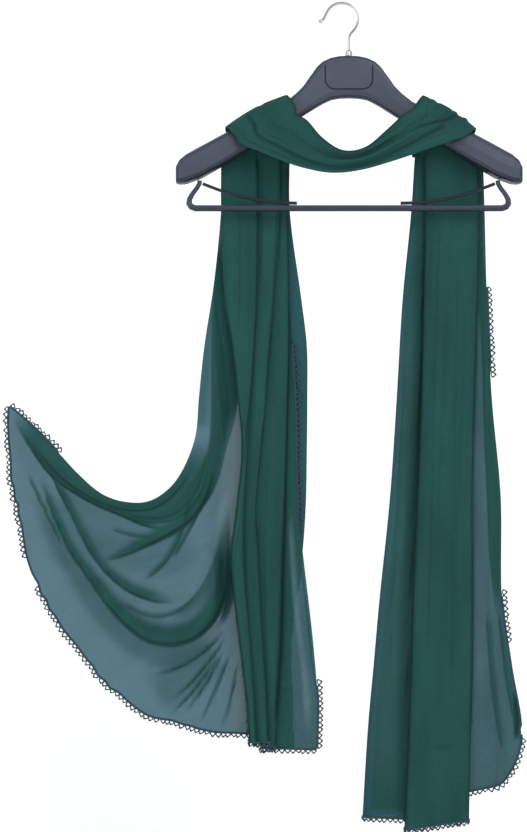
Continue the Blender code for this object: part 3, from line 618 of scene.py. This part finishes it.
def turnMarks(turns, steps, middles):
    # 1 at each fold's turn and 0 between, along the same soft line as the cloth; the turns darken with
    # it, partly as doubled cloth and partly as painted shade of the fold seen edge on
    marks = []
    for number in range(len(turns) - 1):
        marks += [1.0, 0.0] + [0.0] * middles + [0.0]
        if number == len(turns) - 2 or turns[number + 2] != turns[number + 1]:
            marks.append(1.0)
    marks[0] = marks[-1] = 0.0
    return [mark.x for mark in softLine([Vector((mark, 0.0)) for mark in marks], steps)]


# Folds drawn as lines of places with half widths: each is a soft ridge, deeper in colour where the
# cloth lies double, with a sharper rim on its right as the line runs. The dark line along each is
# pressed cloth and painted shade together; a lift line lightens the colour instead
def foldField(places, folds):
    tone, dark, relief, lift = (np.zeros(len(places)) for _ in range(4))
    for fold in folds:
        line = [tuple(point) for point in softLine([Vector(point) for point in fold["line"]], 4)]
        lengths = [0.0]
        for a, b in zip(line, line[1:]):
            lengths.append(lengths[-1] + math.dist(a[:2], b[:2]))
        nearest = np.full(len(places), 1e9)
        side, width, way = (np.zeros(len(places)) for _ in range(3))
        for i, ((ax, az, aw), (bx, bz, bw)) in enumerate(zip(line, line[1:])):
            ahead = np.array((bx - ax, bz - az))
            share = np.clip(((places - (ax, az)) @ ahead) / (ahead @ ahead), 0, 1)
            off = places - (ax, az) - share[:, None] * ahead
            far = np.hypot(off[:, 0], off[:, 1])
            better = far < nearest
            nearest = np.where(better, far, nearest)
            side = np.where(better, np.sign(ahead[0] * off[:, 1] - ahead[1] * off[:, 0]), side)
            width = np.where(better, aw + (bw - aw) * share, width)
            way = np.where(better, (lengths[i] + share * (lengths[i + 1] - lengths[i])) / lengths[-1], way)
        ends = np.clip(np.minimum(way, 1 - way) * fold.get("ends", 6.0), 0, 1)
        ends = ends * ends * (3 - 2 * ends)
        rim = np.clip(nearest - width, 0, None) / fold.get("rim", 1.3)
        inner = fold.get("inner", 0.2)
        soft = np.clip(nearest - inner * width, 0, None) / (fold.get("soft", 2.5) + (1 - inner) * width)
        body = np.exp(-np.where(side < 0, rim, soft) ** 2) * ends
        if "lift" in fold:
            lift = np.maximum(lift, fold["lift"] * body)
            continue
        spread = fold["spread"] * width if "spread" in fold else np.clip(0.3 * width, 1.1, 2.4)
        across = (nearest * side + fold.get("offset", 0.7) * width) / spread
        tone = 1 - (1 - tone) * (1 - fold.get("cover", 0.9) * body)
        dark = np.maximum(dark, fold["creaseAndShade"] * np.exp(-across ** 2) * ends)
        relief -= np.clip(0.3 + 0.25 * width, 0, 2.2) * fold.get("rise", 1.0) * body
    return tone, dark, relief, lift


rightLines = [
    # painted shadow: the first line darkens the cloth to the left of the pleat
    {"creaseAndShade": 0.42, "spread": 1, "offset": 0, "line": [(101, -240, 3), (100, -375, 5), (97, -503, 6),
     (91, -630, 7), (85, -763, 7), (82, -847, 7), (78, -950, 6), (76, -1040, 4)]},
    {"cover": 0.7, "creaseAndShade": 0.5, "soft": 3, "line": [(190.5, -761, 4), (194.4, -839, 4), (200.8, -903, 3.5),
     (208.5, -948, 3), (213.7, -974, 1)]},
    {"cover": 0.8, "creaseAndShade": 0.35, "line": [(203, -770, 1), (210, -820, 3), (217, -870, 3.5), (224, -912, 3),
     (228, -930, 1)]},
    {"cover": 1, "creaseAndShade": 0.8, "spread": 0.9, "offset": 0, "line": [(224, -880, 1), (227, -905, 3.5),
     (228, -922, 4), (226, -945, 2)]},
    {"creaseAndShade": 0.85, "line": [(107, -230, 1.6), (107, -375, 1.8), (104, -503, 2), (98, -630, 2.2),
     (92, -763, 2.4), (89, -847, 2.6), (85, -950, 2.6), (82, -1040, 2)]},
    {"creaseAndShade": 0.8, "line": [(177, -215, 1.4), (178, -262, 1.8), (177, -375, 2), (172, -503, 2.2),
     (170, -630, 2.2), (170, -763, 2), (169, -850, 1.8), (165, -1010, 1.2)]},
    {"creaseAndShade": 0.35, "line": [(128, -240, 1), (124, -420, 2.2), (118, -640, 2.6), (112, -860, 1.4)]},
    {"creaseAndShade": 0.3, "line": [(152, -300, 1), (150, -470, 2.4), (146, -700, 2.6), (143, -930, 1.4)]},
    {"creaseAndShade": 0.3, "line": [(88, -330, 1), (82, -520, 2.2), (72, -700, 2.4), (62, -900, 1.2)]},
    {"creaseAndShade": 0.45, "line": [(182, -340, 1), (186, -500, 2), (190, -620, 2.2), (196, -760, 1.2)]},
    {"lift": 0.14, "rim": 9, "soft": 9, "line": [(84, -330, 2), (80, -420, 5), (74, -560, 9), (67, -700, 12),
     (60, -850, 14), (56, -1040, 14)]},
    {"lift": 0.2, "rim": 6, "soft": 8, "line": [(172, -520, 1), (176, -640, 4), (180, -760, 6), (186, -900, 6)]},
    {"creaseAndShade": 0.2, "cover": 1, "inner": 1, "line": [(179, -260, 4), (182, -320, 5), (184, -375, 5.5),
     (188, -450, 5), (192, -510, 5.5), (196, -560, 7), (198, -645, 8), (201, -748, 6), (208, -820, 2)]},
    {"creaseAndShade": 0.25, "line": [(52, -960, 0.6), (88, -957, 1.4), (130, -949, 1.4), (164, -945, 0.6)]},
]
leftLines = [
    {"creaseAndShade": 0.85, "line": [(-106.9, -215, 1), (-106.9, -263, 1.8), (-106.2, -361, 2.2), (-110.5, -444, 2.4),
     (-115.7, -503, 2), (-120.1, -544, 1.8), (-124.9, -593, 1.2)]},
    {"creaseAndShade": 0.55, "line": [(-101.5, -205, 0.8), (-100.8, -250, 1.4), (-101.2, -310, 1.2),
     (-104.6, -360, 0.8)]},
    {"creaseAndShade": 0.65, "line": [(-82, -205, 0.8), (-80.5, -263, 1.5), (-86.1, -378, 1.8), (-92.5, -444, 1.6),
     (-95.5, -503, 1.4), (-102, -561, 1.2), (-108.6, -643, 0.8)]},
    {"creaseAndShade": 1, "line": [(-69, -240, 1), (-65.9, -411, 1.8), (-68.1, -503, 2), (-70.7, -594, 2.2),
     (-72.5, -658, 3.4), (-73.2, -691, 4.6), (-75, -736, 4.4), (-75.8, -769, 4.2), (-77.6, -828, 4.6),
     (-81.5, -887, 4.4), (-85.4, -943, 4)], "ends": 16, "spread": 0.8, "offset": 0},
    {"lift": 0.6, "rim": 1.6, "soft": 2.5, "line": [(-64.2, -640, 0.8), (-64.2, -687, 1.2), (-60.4, -729, 1.5),
     (-57.8, -777, 1.6), (-52.6, -813, 1.6), (-46.2, -858, 2), (-42.8, -905, 2.2), (-41.2, -945, 3)]},
    {"creaseAndShade": 0.3, "line": [(-92, -560, 1), (-97, -680, 2.4), (-96, -800, 2.6), (-93, -920, 1.2)]},
    {"creaseAndShade": 0.4, "line": [(-127, -650, 1), (-136, -700, 2), (-136, -760, 2), (-130, -810, 1)]},
    {"creaseAndShade": 0.35, "line": [(-130, -230, 0.8), (-128, -330, 1.6), (-131, -420, 1)]},
]


def buildTail(name, side, turns, folds, top, relief, lines, bulge):
    rows = [tailRow(turns, folds, top, number / tails["rows"]) for number in range(tails["rows"] + 1)]
    panel = (len(panelMiddles) + 3) * tails["steps"]
    for i, row in enumerate(rows):  # the outermost panel's hem hangs rounded
        out = bulge * ease((i / tails["rows"] - 0.8) / 0.2)
        for j in range(panel):
            row[j] += Vector((0.75, 0.0, -0.65)) * out * math.sin(math.pi * j / panel)
    marks = turnMarks([turn[3] for turn in turns], tails["steps"], len(panelMiddles))
    places = np.array([[point.x, point.z] for row in rows for point in row])
    tone, dark, _, lift = (values.reshape(len(rows), -1) for values in foldField(places, lines))
    shades, creasesAndShade = [], []
    for i, row in enumerate(rows):
        for point in row:
            point.y += reliefY(relief, folds, point.x, point.z)
        shades.append([max(layerShade(coverOf(side, point.x, point.z)), deep,
                           tails["least"] + 0.25 * ease((point.z + 560) / 300))
                       for point, deep in zip(row, tone[i])])
        outer = (foldX(folds, "left", row[0].z) + 4, foldX(folds, "right", row[0].z) + 4)
        creasesAndShade.append([max((0.75 if outer[0] < point.x < outer[1] else 0.25) * mark, 0.9 * line)
                        for point, mark, line in zip(row, marks, dark[i])])
    return rows, makeSheet(name, rows, shades, creasesAndShade, lift)


rightRows, rightTail = buildTail("rightTail", "right", rightTurns, rightFolds, rightTop, rightRelief,
                                 rightLines, tails["bulge"])
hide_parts("stole_right_tail")
leftRows, leftColumn = buildTail("leftColumn", "left", leftTurns, leftFolds, leftTop, leftRelief,
                                 leftLines, 0.0)
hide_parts("stole_left_column")
print("stage: tails")

stations = [neck["start"] + (neck["end"] - neck["start"]) * i / neck["rows"] for i in range(neck["rows"] + 1)]
neckRows, neckDark = zip(*[neckRow(station) for station in stations])
neckMarks = turnMarks([layer for _, layer in neckTurns], neck["steps"], len(panelMiddles))
neckBand = makeSheet("neckBand", neckRows, [[1.0] * len(neckRows[0])] * len(neckRows),
                     [[max(0.7 * mark, dark) for mark, dark in zip(neckMarks, row)] for row in neckDark])
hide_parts("stole_neck")
print("stage: neck band")


fan = {"cover": 0.6, "creaseAndShade": 0.7, "soft": 1.6, "ends": 3}
haze = {"creaseAndShade": 0, "rise": 0}
flareFolds = {
    "longSwag": {"creaseAndShade": 0.75, "inner": 0.4, "soft": 4, "line": [(-389, -584, 1.3), (-368, -657, 1.8),
     (-340, -708, 2.3), (-310, -747, 4.1), (-276, -789, 7.1), (-244, -809, 10.3), (-214, -812, 11.6),
     (-187, -803, 11), (-166, -781, 10.3), (-153, -750, 8.4), (-149, -711, 5.8), (-149, -670, 3.9),
     (-146, -633, 1.3)]},
    "shortSwag": {"cover": 0.85, "creaseAndShade": 0.75, "soft": 4, "line": [(-380, -582, 1), (-353, -633, 1.8),
     (-331, -680, 2.1), (-312, -711, 2.6), (-294, -732, 2.8), (-270, -749, 3.9), (-244, -759, 5.2),
     (-223, -763, 4.1), (-210, -763, 1)]},
    "shortSwagArm": {"cover": 0.75, "creaseAndShade": 0.7, "line": [(-256, -739, 0.8), (-236, -723, 1.5),
     (-221, -706, 1.9), (-208, -680, 2.1), (-200, -649, 2.6), (-195, -620, 1.3)]},
    "secondArm": {"cover": 0.7, "creaseAndShade": 0.6, "line": [(-218, -711, 0.6), (-199, -677, 1.4),
     (-186, -653, 1.7), (-177, -628, 0.8)]},
    "wedge": {"creaseAndShade": 0.9, "line": [(-310, -711, 0.9), (-288, -706, 2.8), (-265, -694, 5.2),
     (-239, -681, 7.1), (-213, -667, 8.4), (-190, -649, 7.7), (-173, -620, 6.5), (-165, -584, 2.6)]},
    "bundle": {"creaseAndShade": 0.1, "inner": 1, "soft": 2, "rim": 2, "rise": 0.4, "ends": 9,
     "line": [(-155.5, -285, 1), (-154.6, -336, 5), (-152, -374, 13), (-149.4, -439, 15.5), (-149.4, -503, 16),
     (-153, -536, 13), (-160, -569, 8.4), (-167, -597, 10.3), (-182, -625, 14.2), (-202, -644, 13),
     (-223, -659, 5)]},
    "rolledEdge": {"cover": 0.85, "creaseAndShade": 0.5, "inner": 1, "soft": 3, "line": [(-426.3, -514.3, 0.7),
     (-414.7, -527.2, 4.6), (-401.8, -544.1, 8.2), (-386.9, -563.5, 11.4), (-370.1, -583.6, 14),
     (-346.1, -606.8, 11.5), (-313.1, -629.5, 7.7), (-281.4, -641.8, 7.1), (-250.3, -648.9, 14),
     (-218, -641.1, 22), (-193.4, -610.1, 19), (-181.8, -575.1, 12), (-174, -545.4, 4)]},
    "rolledEdgeLine": {"creaseAndShade": 0.9, "line": [(-402, -551, 0.9), (-376, -584, 2.1), (-347, -613, 2.8),
     (-311, -633, 3.4), (-275, -645, 3.9), (-244, -644, 3.9), (-221, -629, 3.9), (-202, -607, 3.9),
     (-191, -584, 1.3)]},
    "rolledEdgeFoot": {"creaseAndShade": 0.8, "line": [(-407, -548, 0.8), (-375, -601, 1.5), (-341, -623, 2.1),
     (-310, -640, 2.6), (-283, -649, 3.1), (-258, -662, 3.4), (-234, -670, 2.1), (-218, -670, 0.8)]},
    "fanOne": {**fan, "line": [(-249, -862, 0.4), (-227, -857, 1.3), (-208, -851, 1.7), (-180, -834, 1.9),
     (-158, -815, 1.6), (-148, -796, 0.6)]},
    "fanTwo": {**fan, "line": [(-223, -896, 0.4), (-199, -877, 0.9), (-177, -852, 1.4), (-155, -825, 1.1),
     (-144, -804, 0.5)]},
    "fanThree": {**fan, "line": [(-223, -915, 0.3), (-199, -892, 0.8), (-179, -868, 1), (-158, -835, 0.8)]},
    "fanFour": {**fan, "line": [(-204, -913, 0.4), (-183, -887, 0.9), (-165, -856, 1.1), (-148, -822, 0.5)]},
    "fanFive": {**fan, "line": [(-183, -927, 0.4), (-170, -900, 0.8), (-152, -855, 1), (-140, -825, 0.5)]},
    "fanSix": {**fan, "line": [(-156, -939, 0.4), (-144, -905, 0.9), (-138, -870, 1), (-131, -834, 0.5)]},
    "columnShade": {"creaseAndShade": 0.9, "line": [(-126, -623, 1), (-130, -659, 2.3), (-135, -706, 2.8),
     (-142, -750, 3.4), (-148, -783, 3.1), (-161, -804, 1)]},
    "leftPinch": {"cover": 0.45, "creaseAndShade": 0.4, "line": [(-402, -595, 0.5), (-389, -626, 1.2),
     (-373, -662, 1.2), (-355, -695, 0.5)]},
    "midSag": {"cover": 0.5, "creaseAndShade": 0.35, "line": [(-285, -763, 0.5), (-259, -780, 1.4), (-234, -786, 1.7),
     (-208, -778, 1.3), (-187, -760, 0.5)]},
    "highSag": {"cover": 0.5, "creaseAndShade": 0.35, "line": [(-296, -670, 0.5), (-278, -676, 1.3), (-258, -681, 1.5),
     (-244, -680, 0.6)]},
    "windowLight": {"lift": 0.5, "rim": 6, "soft": 6, "line": [(-130, -505, 1), (-140, -556, 6),
     (-143, -607, 8), (-146, -659, 8), (-153, -711, 5)]},
    "lowLight": {"lift": 0.35, "rim": 6, "soft": 6, "line": [(-134, -800, 1), (-130, -850, 5), (-128, -900, 8),
     (-126, -935, 9)]},
    "stripTone": {**haze, "cover": 0.4, "rim": 6, "soft": 6, "ends": 20, "line": [(-160, -240, 4),
     (-166, -330, 6), (-173, -410, 8), (-180, -480, 8), (-186, -545, 8)]},
    "rightSweep": {"cover": 0.5, "creaseAndShade": 0.3, "soft": 8, "line": [(-152, -667, 1), (-158, -708, 2.6),
     (-172, -742, 3.2), (-196, -772, 3.2), (-225, -786, 1.5)]},
    "windowHaze": {**haze, "cover": 0.15, "rim": 12, "soft": 14, "line": [(-140, -560, 1), (-143, -610, 6),
     (-146, -650, 9), (-150, -700, 12), (-158, -745, 12), (-170, -775, 6)]},
    "upperHaze": {**haze, "cover": 0.22, "rim": 18, "soft": 18, "line": [(-370, -610, 4), (-330, -650, 12),
     (-285, -685, 18), (-240, -700, 24), (-205, -690, 20), (-185, -670, 8)]},
    "swagHaze": {**haze, "cover": 0.28, "rim": 10, "soft": 16, "line": [(-395, -620, 2), (-360, -690, 8),
     (-320, -750, 12), (-280, -800, 16), (-235, -828, 18), (-190, -826, 16), (-160, -800, 8)]},
    "fanHaze": {**haze, "cover": 0.25, "rim": 16, "soft": 18, "line": [(-245, -890, 4), (-210, -870, 12),
     (-180, -850, 16), (-155, -830, 10)]},
}


def buildFlare():
    rows = [flareRow(number / flare["rows"]) for number in range(flare["rows"] + 1)]
    places = np.array([[point.x, point.z] for row in rows for point in row])
    relief = swellRelief(places).reshape(len(rows), -1)
    tone, dark, ridge, lift = (values.reshape(len(rows), -1) for values in foldField(places, flareFolds.values()))
    relief = relief + ridge * nearColumn(places).reshape(len(rows), -1)
    fixed = 4 * flare["steps"]
    shades, creasesAndShade = [], []
    for i, row in enumerate(rows):
        low = ease((i / flare["rows"] - 0.8) / 0.2)
        for j, point in enumerate(row):
            if j > fixed:
                way = (j - fixed) / (len(row) - 1 - fixed)
                wave = math.sin(way * 61 + 4 * math.sin(way * 9)) * (0.4 + 0.6 * math.sin(way * 23) ** 2)
                pucker = math.sin(way * 97 + 3 * math.sin(way * 31)) + 0.8 * math.sin(way * 43)
                point.x += flare["pucker"] * pucker * low * low * ease(way * 5 - 0.6) * ease((1 - way) * 8)
                point.z += 0.7 * flare["pucker"] * pucker * low * low * ease(way * 5 - 0.6)
                point.y += relief[i][j] + flare["hemWave"] * wave * low * ease(way * 4 - 0.4)
        near = [flare["nearColumn"] * math.exp(-abs(foldX(leftFolds, "left", point.z) - point.x) / flare["reach"])
                for point in row]
        shades.append([max(layerShade(coverOf("left", point.x, point.z)), least, tone[i][j])
                       for j, (point, least) in enumerate(zip(row, near))])
        # the turn at the column's right fold is darkened as doubled cloth with painted shade
        creasesAndShade.append([0.6 if 2 * flare["steps"] <= j <= 3 * flare["steps"] else
                        max(flare["shade"] * clamp(-relief[i][j] / 16), 0.85 * dark[i][j])
                        for j in range(len(row))])
    return rows, makeSheet("leftFlare", rows, shades, creasesAndShade, lift)


flareRows, leftFlare = buildFlare()
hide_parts("stole_left_flare")
print("stage: flare")


# Lace: a cord along the edge with a row of pointed crochet loops
lace = {
    "pitch": 6.9, "cord": 1.5, "thread": 1.1, "loopRadius": 3.2, "loopSteps": 10, "offset": 1.0,
    "sway": 0.7, "tilt": 34.0, "twist": 40.0, "sizes": 0.16, "pointed": 0.5, "tall": 1.2, "footShare": 0.55,
    "rightTop": -356.0, "leftTop": -430.0, "tucked": 5.0, "tuckedBack": 2.2,
    "cornerShare": 0.28, "cornerLoops": -361.0,
    "rightHidden": (-748.0, -476.0), "leftHidden": (-868.0, -660.0),
    "rightBare": (-935.0, -816.0), "flareBare": (-745.0, -707.0),
}


def wobble(number, kind):
    return (math.sin(number * 12.9898 + kind * 78.233) * 43758.5453) % 1.0 - 0.5


def makeLoop(settings):
    # one loop, lying in X and Y with its foot at the origin and its point along +Y
    loop = bmesh.new()
    bmesh.ops.create_circle(loop, segments=4, radius=settings["thread"])
    bmesh.ops.rotate(loop, verts=loop.verts, cent=(0, 0, 0), matrix=Matrix.Rotation(math.pi / 2, 3, "X"))
    bmesh.ops.translate(loop, verts=loop.verts, vec=(settings["loopRadius"], 0, 0))
    bmesh.ops.spin(loop, geom=loop.verts[:] + loop.edges[:], cent=(0, 0, 0), axis=(0, 0, 1),
                   angle=2 * math.pi, steps=settings["loopSteps"], use_merge=True)
    for vert in loop.verts:
        rise = vert.co.y / settings["loopRadius"]
        if rise > 0:
            vert.co.x *= 1 - settings["pointed"] * min(rise, 1.0) ** 1.3
            vert.co.y *= settings["tall"]
        else:
            vert.co.y *= settings["footShare"]
        vert.co.y += settings["loopRadius"] * 0.6
    bmesh.ops.recalc_face_normals(loop, faces=loop.faces)
    mesh = bpy.data.meshes.new("crochetLoop")
    loop.to_mesh(mesh)
    loop.free()
    return mesh


def cordMesh(points, radius):
    curve = bpy.data.curves.new("edgeCord", "CURVE")
    curve.dimensions = "3D"
    curve.bevel_depth = radius * mm
    curve.bevel_resolution = 1
    curve.use_fill_caps = True
    spline = curve.splines.new("POLY")
    spline.points.add(len(points) - 1)
    for target, point in zip(spline.points, points):
        target.co = (*(point * mm), 1.0)
    item = bpy.data.objects.new("edgeCord", curve)
    scene.collection.objects.link(item)
    bpy.context.view_layer.update()
    mesh = bpy.data.meshes.new_from_object(item.evaluated_get(bpy.context.evaluated_depsgraph_get()))
    bpy.data.objects.remove(item)
    return mesh


def nowhere(point):
    return False


def makeLace(name, edge, inward, node, turnedIn=nowhere, bare=nowhere):
    # turnedIn says where the band is folded behind the cloth; bare says where it has no loops
    outs = []
    for number, point in enumerate(edge):
        along = (edge[min(number + 1, len(edge) - 1)] - edge[max(number - 1, 0)]).normalized()
        out = point - inward[number]
        outs.append((out - along * out.dot(along)).normalized())
    lengths = runLengths(edge)
    hidden = [1.0 if turnedIn(point) else 0.0 for point in edge]
    hidden = [sum(hidden[max(i - 4, 0):i + 5]) / len(hidden[max(i - 4, 0):i + 5]) for i in range(len(edge))]
    cord = [point + out * (lace["offset"] - lace["tucked"] * into) + Vector((0.0, lace["tuckedBack"] * into, 0.0))
            for point, out, into in zip(edge, outs, hidden)]
    band = bmesh.new()
    band.from_mesh(cordMesh(cord, lace["cord"]))
    count = max(2, round(lengths[-1] / lace["pitch"]))
    for number in range(count):
        at = lengths[-1] * (number + 0.5) / count
        i = min(max(bisect_right(lengths, at) - 1, 0), len(edge) - 2)
        if turnedIn(edge[i]) or bare(edge[i]):
            continue
        share = (at - lengths[i]) / (lengths[i + 1] - lengths[i])
        out = outs[i].lerp(outs[i + 1], share).normalized()
        along = (edge[i + 1] - edge[i]).normalized()
        along = (along - out * along.dot(out)).normalized()
        out = Matrix.Rotation(math.radians(lace["tilt"] * wobble(number, 3)), 3, along.cross(out)) @ out
        out = (Matrix.Rotation(math.radians(lace["twist"] * wobble(number, 4)), 3, along) @ out).normalized()
        along = (along - out * along.dot(out)).normalized()
        foot = edge[i].lerp(edge[i + 1], share)
        foot = foot + out * lace["offset"] + along * lace["sway"] * 2 * wobble(number, 1)
        size = mm * (1.0 + lace["sizes"] * wobble(number, 2))
        place = Matrix((along, out, along.cross(out))).transposed().to_4x4()
        place = Matrix.Translation(foot * mm) @ place @ Matrix.Scale(size, 4)
        start = len(band.verts)
        band.from_mesh(loopMesh)
        band.verts.ensure_lookup_table()
        bmesh.ops.transform(band, matrix=place, verts=band.verts[start:])
    mesh = bpy.data.meshes.new(name)
    band.to_mesh(mesh)
    band.free()
    mesh.shade_smooth()
    item = placeMesh(name, mesh, crochetCotton)
    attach(item, "root")
    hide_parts(node)
    return item


def sideRun(rows, column, top):
    return [row[column] for row in rows if row[column].z < top]


def within(span):
    return lambda point: span[0] < point.z < span[1]


loopMesh = makeLoop(lace)
laceRightHem = makeLace("laceRightHem", rightRows[-1], rightRows[-2], "lace_right_hem")
laceRightEdge = makeLace("laceRightEdge", sideRun(rightRows, 0, lace["rightTop"]),
                         sideRun(rightRows, 2, lace["rightTop"]), "lace_right_edge",
                         within(lace["rightHidden"]), within(lace["rightBare"]))
laceLeftHem = makeLace("laceLeftHem", leftRows[-1], leftRows[-2], "lace_left_hem")
laceLeftEdge = makeLace("laceLeftEdge", sideRun(leftRows, 0, lace["leftTop"]),
                        sideRun(leftRows, 2, lace["leftTop"]), "lace_left_edge",
                        within(lace["leftHidden"]))
hemStart = 5 * flare["steps"]
laceFlareHem = makeLace("laceFlareHem", flareRows[-1][hemStart:], flareRows[-2][hemStart:], "lace_flare_hem",
                       bare=within(lace["flareBare"]))
cornerRows = flareRows[-round(lace["cornerShare"] * len(flareRows)):]
laceFlareEdge = makeLace("laceFlareEdge", [row[-1] for row in cornerRows],
                         [row[-3] for row in cornerRows], "lace_flare_edge",
                         lambda point: point.x > lace["cornerLoops"])
print("stage: lace")

# Hanger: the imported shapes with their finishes
for material, nodes in ((hangerPlastic, ("hanger_body", "trouser_bar")),
                        (shadedPlastic, ("hold_down_strip_left", "hold_down_strip_right")),
                        (hookChrome, ("hook", "hook_collar", "hook_tip_ball"))):
    for node in nodes:
        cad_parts[node].data.materials.clear()
        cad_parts[node].data.materials.append(material)

# painted shade: a dark cord lies in the yoke's panel line groove, front and back
yokePanel = {"middle": 9.1, "half": 30.0, "foot": -109.0, "top": -78.0, "corner": 12.0,
             "depth": 6.35, "radius": 0.55}


def makePanelLineShade(name, settings, side):
    outline = [(settings["middle"] - settings["half"], settings["top"])]
    for turn, way in ((180, -1), (270, 1)):
        for step in range(7):
            angle = math.radians(turn + step * 15)
            outline.append((settings["middle"] + way * (settings["half"] - settings["corner"])
                            + settings["corner"] * math.cos(angle),
                            settings["foot"] + settings["corner"] * (1 + math.sin(angle))))
    outline.append((settings["middle"] + settings["half"], settings["top"]))
    mesh = cordMesh([Vector((x, side * settings["depth"], z)) for x, z in outline], settings["radius"])
    item = placeMesh(name, mesh, shadedPlastic)
    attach(item, "root")
    return item


panelLineShadeFront = makePanelLineShade("panelLineShadeFront", yokePanel, -1)
panelLineShadeBack = makePanelLineShade("panelLineShadeBack", yokePanel, 1)
print("stage: hanger")


# Stage and light: a pale floor, a white backdrop and large soft lamps
stage = {"floor": -1330.0, "wall": 900.0, "size": 7000.0, "floorColour": "#e6e7e9", "glow": 0.40,
         "middle": -100.0, "aim": (-100.0, 0.0, -520.0), "sky": 0.31}
lamps = [
    {"name": "key", "place": (1000, -2750, 900), "size": 2000.0, "power": 39.5},
    {"name": "fill", "place": (-1900, -2300, -200), "size": 2200.0, "power": 19.0},
]


def makePlane(name, size, place, turned, colour, glow):
    mesh = bpy.data.meshes.new(name)
    plane = bmesh.new()
    bmesh.ops.create_grid(plane, x_segments=1, y_segments=1, size=size / 2 * mm)
    if turned:
        bmesh.ops.rotate(plane, verts=plane.verts, cent=(0, 0, 0), matrix=Matrix.Rotation(math.pi / 2, 3, "X"))
    bmesh.ops.translate(plane, verts=plane.verts, vec=Vector(place) * mm)
    plane.to_mesh(mesh)
    plane.free()
    material, tree, shader = startMaterial(name + " paint")
    grain = noise(tree, addNode(tree, "ShaderNodeTexCoord").outputs["Object"], 90.0)
    tree.links.new(mapped(tree, grain, 0.0, 1.0, 0.85, 0.95), shader.inputs["Roughness"])
    shader.inputs["Base Color"].default_value = linear(colour)
    shader.inputs["Emission Color"].default_value = (1, 1, 1, 1)
    shader.inputs["Emission Strength"].default_value = glow
    if turned:  # a backdrop is clear from behind, so that the back can be looked at
        behind = addNode(tree, "ShaderNodeNewGeometry")
        clear = addNode(tree, "ShaderNodeBsdfTransparent")
        sided = addNode(tree, "ShaderNodeMixShader", links={0: behind.outputs["Backfacing"],
                                                            1: shader.outputs["BSDF"], 2: clear.outputs["BSDF"]})
        tree.links.new(sided.outputs["Shader"], tree.nodes["Material Output"].inputs["Surface"])
    item = placeMesh(name, mesh, material)


makePlane("floor", stage["size"], (stage["middle"], 0, stage["floor"]), False, stage["floorColour"], 0.0)
makePlane("backdrop", stage["size"], (stage["middle"], stage["wall"], stage["floor"] + stage["size"] / 2),
          True, "#ffffff", stage["glow"])

for lamp in lamps:
    data = bpy.data.lights.new(lamp["name"], "AREA")
    data.size = lamp["size"] * mm
    data.energy = lamp["power"]
    item = bpy.data.objects.new(lamp["name"], data)
    item.location = Vector(lamp["place"]) * mm
    aim = Vector(stage["aim"]) * mm - item.location
    item.rotation_euler = aim.to_track_quat("-Z", "Y").to_euler()
    scene.collection.objects.link(item)

world = bpy.data.worlds.new("studio")
world.use_nodes = True
world.node_tree.nodes["Background"].inputs["Color"].default_value = (1, 1, 1, 1)
world.node_tree.nodes["Background"].inputs["Strength"].default_value = stage["sky"]
scene.world = world
print("stage: light")
